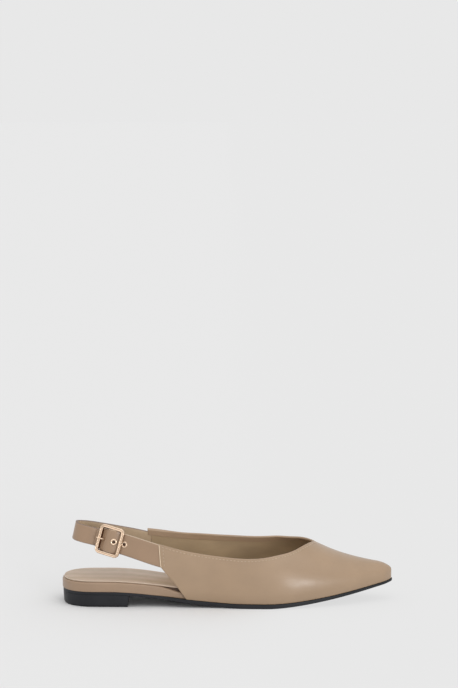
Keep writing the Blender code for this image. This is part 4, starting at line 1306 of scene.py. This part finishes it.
def build_perforated_strap():
    """Strap from the outer quarter, which climbs over the sling's fold and through the buckle."""
    near = [(STRAP.buckle - u, level) for u, level in path_samples(in_lengths(PERFORATED_PATH), 0.6)]
    start = STRAP.lateral_seam - TONGUE_SHOWN
    count = 44
    path = [(blend(start, near[0][0], k / count), 0.0) for k in range(count)] + near
    thicknesses = []
    extras = []
    tones = []
    for k, (s, _) in enumerate(path):
        past = s - STRAP.buckle
        thicknesses.append(blend(STRAP_THICKNESS, PERFORATED_THICKNESS, min(k / count, 1)))
        extras.append(FRAME_FILL * (1 - smooth_step((abs(past) - FRAME_FILL_REACH) / FRAME_FILL_FADES)))
        # Rows beside the frame's bars take the dark painted shade
        tones.append(4 if any(low < past < high for low, high in PAINTED_SHADE_RUNS) else 0)
    for k in range(STRAP_TIP_ROWS):
        extras[-1 - k] = -STRAP_TIP_TAPER * (1 - k / STRAP_TIP_ROWS) ** 2.2
    piece = make_strap(
        "perforated_strap", FRONT_STRAP_FINISHES, "front_strap", path, thicknesses, extras, tones
    )
    for number in (1, 2):
        axis = layer_axis(PRONG_HOLE_PLACE + number * EYELET_PITCH)
        hole = Shape()
        hole.tube([ring_round(axis, EYELET_BARREL, level, 32) for level in (-EYELET_CUT, EYELET_CUT)])
        carve(piece, hole.make("hole", [PAINTED_EDGE]))
    hole = Shape()
    wire = [rigid_point(u, level, 0.0) for u, level in prong_wire()]
    add_tube(hole, wire, PRONG_RADIUS + PRONG_HOLE_ROOM, 16)
    carve(piece, hole.make("hole", [PAINTED_EDGE]))


def rigid_point(u, level, w):
    """Point of the stiff metal parts: u to the toe, level outward, w up the strap's width."""
    middle, along, outward, across = STRAP.square_frame(STRAP.buckle)
    return middle + along * u + outward * level + across * w


def build_sling_strap():
    """Sling from the inner quarter round the heel, folded round the buckle's centre bar."""
    radius = CENTRE_BAR_RADIUS + FOLD_ROOM + STRAP_SKIVED / 2
    fold = path_samples(in_lengths(LOOP_LOWER_PATH), 0.7)
    fold += arc((0.0, CENTRE_BAR_LEVEL), radius, -90, 90, 18)
    fold += path_samples(in_lengths(LOOP_UPPER_PATH), 0.7)
    near = [(STRAP.buckle - u, level) for u, level in fold]
    start = near[-1][0]
    stop = STRAP.medial_seam + TONGUE_SHOWN
    count = 110
    path = near + [(blend(start, stop, k / count), 0.0) for k in range(1, count + 1)]
    thicknesses = []
    extras = []
    for k, (s, _) in enumerate(path):
        grown = smooth_step((k - len(near)) / FOLD_GROWS)
        thicknesses.append(blend(STRAP_SKIVED, STRAP_THICKNESS, grown))
        extras.append(-FOLD_MARGIN * (1 - smooth_step((s - STRAP.buckle - FOLD_ENDS) / FOLD_FADES)))
    plain = [0] * len(path)
    piece = make_strap("sling_strap", STRAP_FINISHES, "heel_strap", path, thicknesses, extras, plain)
    slot = Shape()
    widths = (-SLOT_HALF_WIDTH, SLOT_HALF_WIDTH)
    slot.tube([[rigid_point(*at, w) for at in SLOT_CORNERS] for w in widths])
    carve(piece, slot.make("slot", [PAINTED_EDGE]))


def rounded_rectangle(half_length, half_height, corner, per_corner):
    """Points round a rectangle with rounded corners, in a plane."""
    points = []
    for turn, (way_u, way_w) in enumerate(((1, 1), (-1, 1), (-1, -1), (1, -1))):
        for k in range(per_corner + 1):
            angle = math.radians(90 * turn + 90 * k / per_corner)
            u = way_u * (half_length - corner) + corner * math.cos(angle)
            w = way_w * (half_height - corner) + corner * math.sin(angle)
            points.append((u, w))
    return points


def build_buckle():
    """Frame with two fine ridges and a groove between them, groove and inner wall darkened as painted
    shade, and its centre bar on two legs.
    """
    shape = Shape()
    rings = []
    for inward, rise, tone in FRAME_PROFILE:
        inward *= BUCKLE_BAR
        level = BUCKLE_LIFT + (rise - 0.5) * BUCKLE_DEPTH
        sizes = (BUCKLE_LENGTH / 2 - inward, BUCKLE_HEIGHT / 2 - inward, BUCKLE_CORNER - inward)
        corners = rounded_rectangle(*sizes, 14)
        rings.append(shape.add_row([rigid_point(u, level, w) for u, w in corners]))
    for k, (first, second) in enumerate(zip(rings, rings[1:] + rings[:1])):
        shape.bridge(first, second, closed=True, number=FRAME_PROFILE[k][2])
    reach = (BUCKLE_HEIGHT - BUCKLE_BAR) / 2
    low = CENTRE_BAR_LEVEL
    eased = CENTRE_BAR_BEND * (1 - math.sqrt(0.5))
    bend = [
        (BUCKLE_LIFT, reach),
        (low + CENTRE_BAR_BEND, reach),
        (low + eased, reach - eased),
        (low, reach - CENTRE_BAR_BEND),
    ]
    bend = path_samples(bend, 0.3)
    wire = [rigid_point(0.0, level, -w) for level, w in bend]
    wire += [rigid_point(0.0, level, w) for level, w in bend[::-1]]
    add_tube(shape, wire, CENTRE_BAR_RADIUS, 20)
    shape.make("buckle", [METAL, GROOVE_SHADE_METAL, PAINTED_SHADE_METAL], "buckle_frame", sharp=70)


def prong_wire():
    """The prong's line, wound round the centre bar and up over the frame's rear bar."""
    radius = CENTRE_BAR_RADIUS + PRONG_ROOM + PRONG_RADIUS
    return arc((0.0, CENTRE_BAR_LEVEL), radius, -150, 90, 30) + path_samples(in_lengths(PRONG_PATH), 0.35)


def build_prong():
    wire = prong_wire()
    sizes = [PRONG_RADIUS] * len(wire)
    for k in range(6):
        rounding = math.sqrt(1 - (1 - k / 6) ** 2)
        sizes[-1 - k] = PRONG_RADIUS * (PRONG_TIP_SHARE + (1 - PRONG_TIP_SHARE) * rounding)
    shape = Shape()
    add_tube(shape, [rigid_point(u, level, 0.0) for u, level in wire], sizes, 18)
    shape.make("buckle_prong", [METAL], "prong", sharp=60)


def build_eyelet(name, node, u):
    """A rolled flange on a tube through the strap, and a plug at the hole's bottom painted dark as shade.
    """
    axis = layer_axis(u)
    seat = PERFORATED_THICKNESS / 2 + EYELET_LIFT
    foot = -PERFORATED_THICKNESS / 2
    profile = [(EYELET_BORE, foot), (EYELET_BARREL, foot), (EYELET_BARREL, seat)]
    reach = EYELET_RADIUS - EYELET_BORE
    for k in range(11):
        turn = math.pi * k / 10
        across = (1 + math.cos(turn)) / 2
        rise = (EYELET_RIM + EYELET_SINK) * math.sin(turn) ** 0.8
        profile.append((EYELET_BORE + reach * across, seat - EYELET_SINK + rise))
    shape = Shape()
    rings = [shape.add_row(ring_round(axis, radius, level, 40)) for radius, level in profile]
    shape.skin(rings + rings[:1], closed=True)
    plug = [ring_round(axis, EYELET_BORE + EYELET_SINK, level, 40) for level in (foot, EYELET_PLUG)]
    shape.tube(plug, number=1)
    shape.make(name, [METAL, HOLE_PAINTED_SHADE], node, "eyelets", sharp=60)


def build_stage():
    """Plain pale table that glows as painted light under the toe, so that only the arch's shadow is deep.
    """
    mesh = bpy.data.meshes.new("studio_table")
    low, high = -TABLE_REACH, TABLE_REACH
    mesh.from_pydata([(low, low, 0), (high, low, 0), (high, high, 0), (low, high, 0)], [], [(0, 1, 2, 3)])
    paper = Finish("studio_paper", (PAPER, PAPER, PAPER), 0.9, Specular_IOR_Level=0.0)
    along = paper.add("SeparateXYZ", Vector=paper.place).outputs["X"]
    glow = paper.span(along, PAINTED_GLOW_FROM, PAINTED_GLOW_TO, 0.0, PAINTED_FLOOR_GLOW * WHITE)
    glow.interpolation_type = "SMOOTHSTEP"
    glow = glow.outputs["Result"]
    dimmed = paper.span(glow, 0.0, WHITE, PAPER, 0.0).outputs["Result"]
    paper.feed(
        paper.shader, Emission_Color=(1, 1, 1, 1), Emission_Strength=glow, Base_Color=dimmed
    )
    mesh.materials.append(paper.material)
    link("studio_table", mesh)


def add_sun(name, strength, elevation, spread, turn):
    """Soft light from the camera's side, turned towards the toe: height, spread and turn in degrees."""
    data = bpy.data.lights.new(name, "SUN")
    data.energy = strength
    data.angle = math.radians(spread)
    link(name, data).rotation_euler = (math.radians(90 - elevation), 0, math.radians(turn))


def build_lights():
    world = bpy.data.worlds.new("studio")
    world.use_nodes = True
    sky = world.node_tree.nodes["Background"]
    sky.inputs["Color"].default_value = (1, 1, 1, 1)
    sky.inputs["Strength"].default_value = WHITE
    bpy.context.scene.world = world
    add_sun("top_light", *TOP_LIGHT)
    add_sun("front_light", *FRONT_LIGHT)


def build_camera():
    """The photograph's own frame: nearly level, far off, square to the shoe's side."""
    data = bpy.data.cameras.new("photo_camera")
    camera = link("photo_camera", data)
    tilt = math.radians(CAMERA_ELEVATION)
    x = ((MIDDLE_COLUMN - HEEL_COLUMN) * PIXEL - ORIGIN_X) * MM
    z = (FLOOR_ROW - MIDDLE_ROW) * PIXEL / math.cos(tilt) * MM
    camera.location = (x, -math.cos(tilt) * CAMERA_DISTANCE, z + math.sin(tilt) * CAMERA_DISTANCE)
    camera.rotation_euler = (math.pi / 2 - tilt, 0, 0)
    data.sensor_width = 36.0
    data.lens = data.sensor_width * CAMERA_DISTANCE / (FRAME_HEIGHT * PIXEL * MM)
    data.shift_x = (FRAME_WIDTH / 2 - MIDDLE_COLUMN) / FRAME_HEIGHT
    data.shift_y = (MIDDLE_ROW - FRAME_HEIGHT / 2) / FRAME_HEIGHT
    data.clip_start = 0.05
    bpy.context.scene.camera = camera


build_camera()
build_upper_leather()
build_upper_lining()
build_topline_stitches()
build_seam_stitches()
build_raw_edges()
build_outsole()
build_heel()
build_footbed_cover()
build_sock()
build_sock_piping()
build_perforated_strap()
build_sling_strap()
build_buckle()
build_prong()
build_eyelet("eyelet_front", "eyelet_b", PRONG_HOLE_PLACE + EYELET_PITCH)
build_eyelet("eyelet_rear", "eyelet_c", PRONG_HOLE_PLACE + 2 * EYELET_PITCH)
build_stage()
build_lights()
bpy.context.scene.view_settings.view_transform = "Standard"
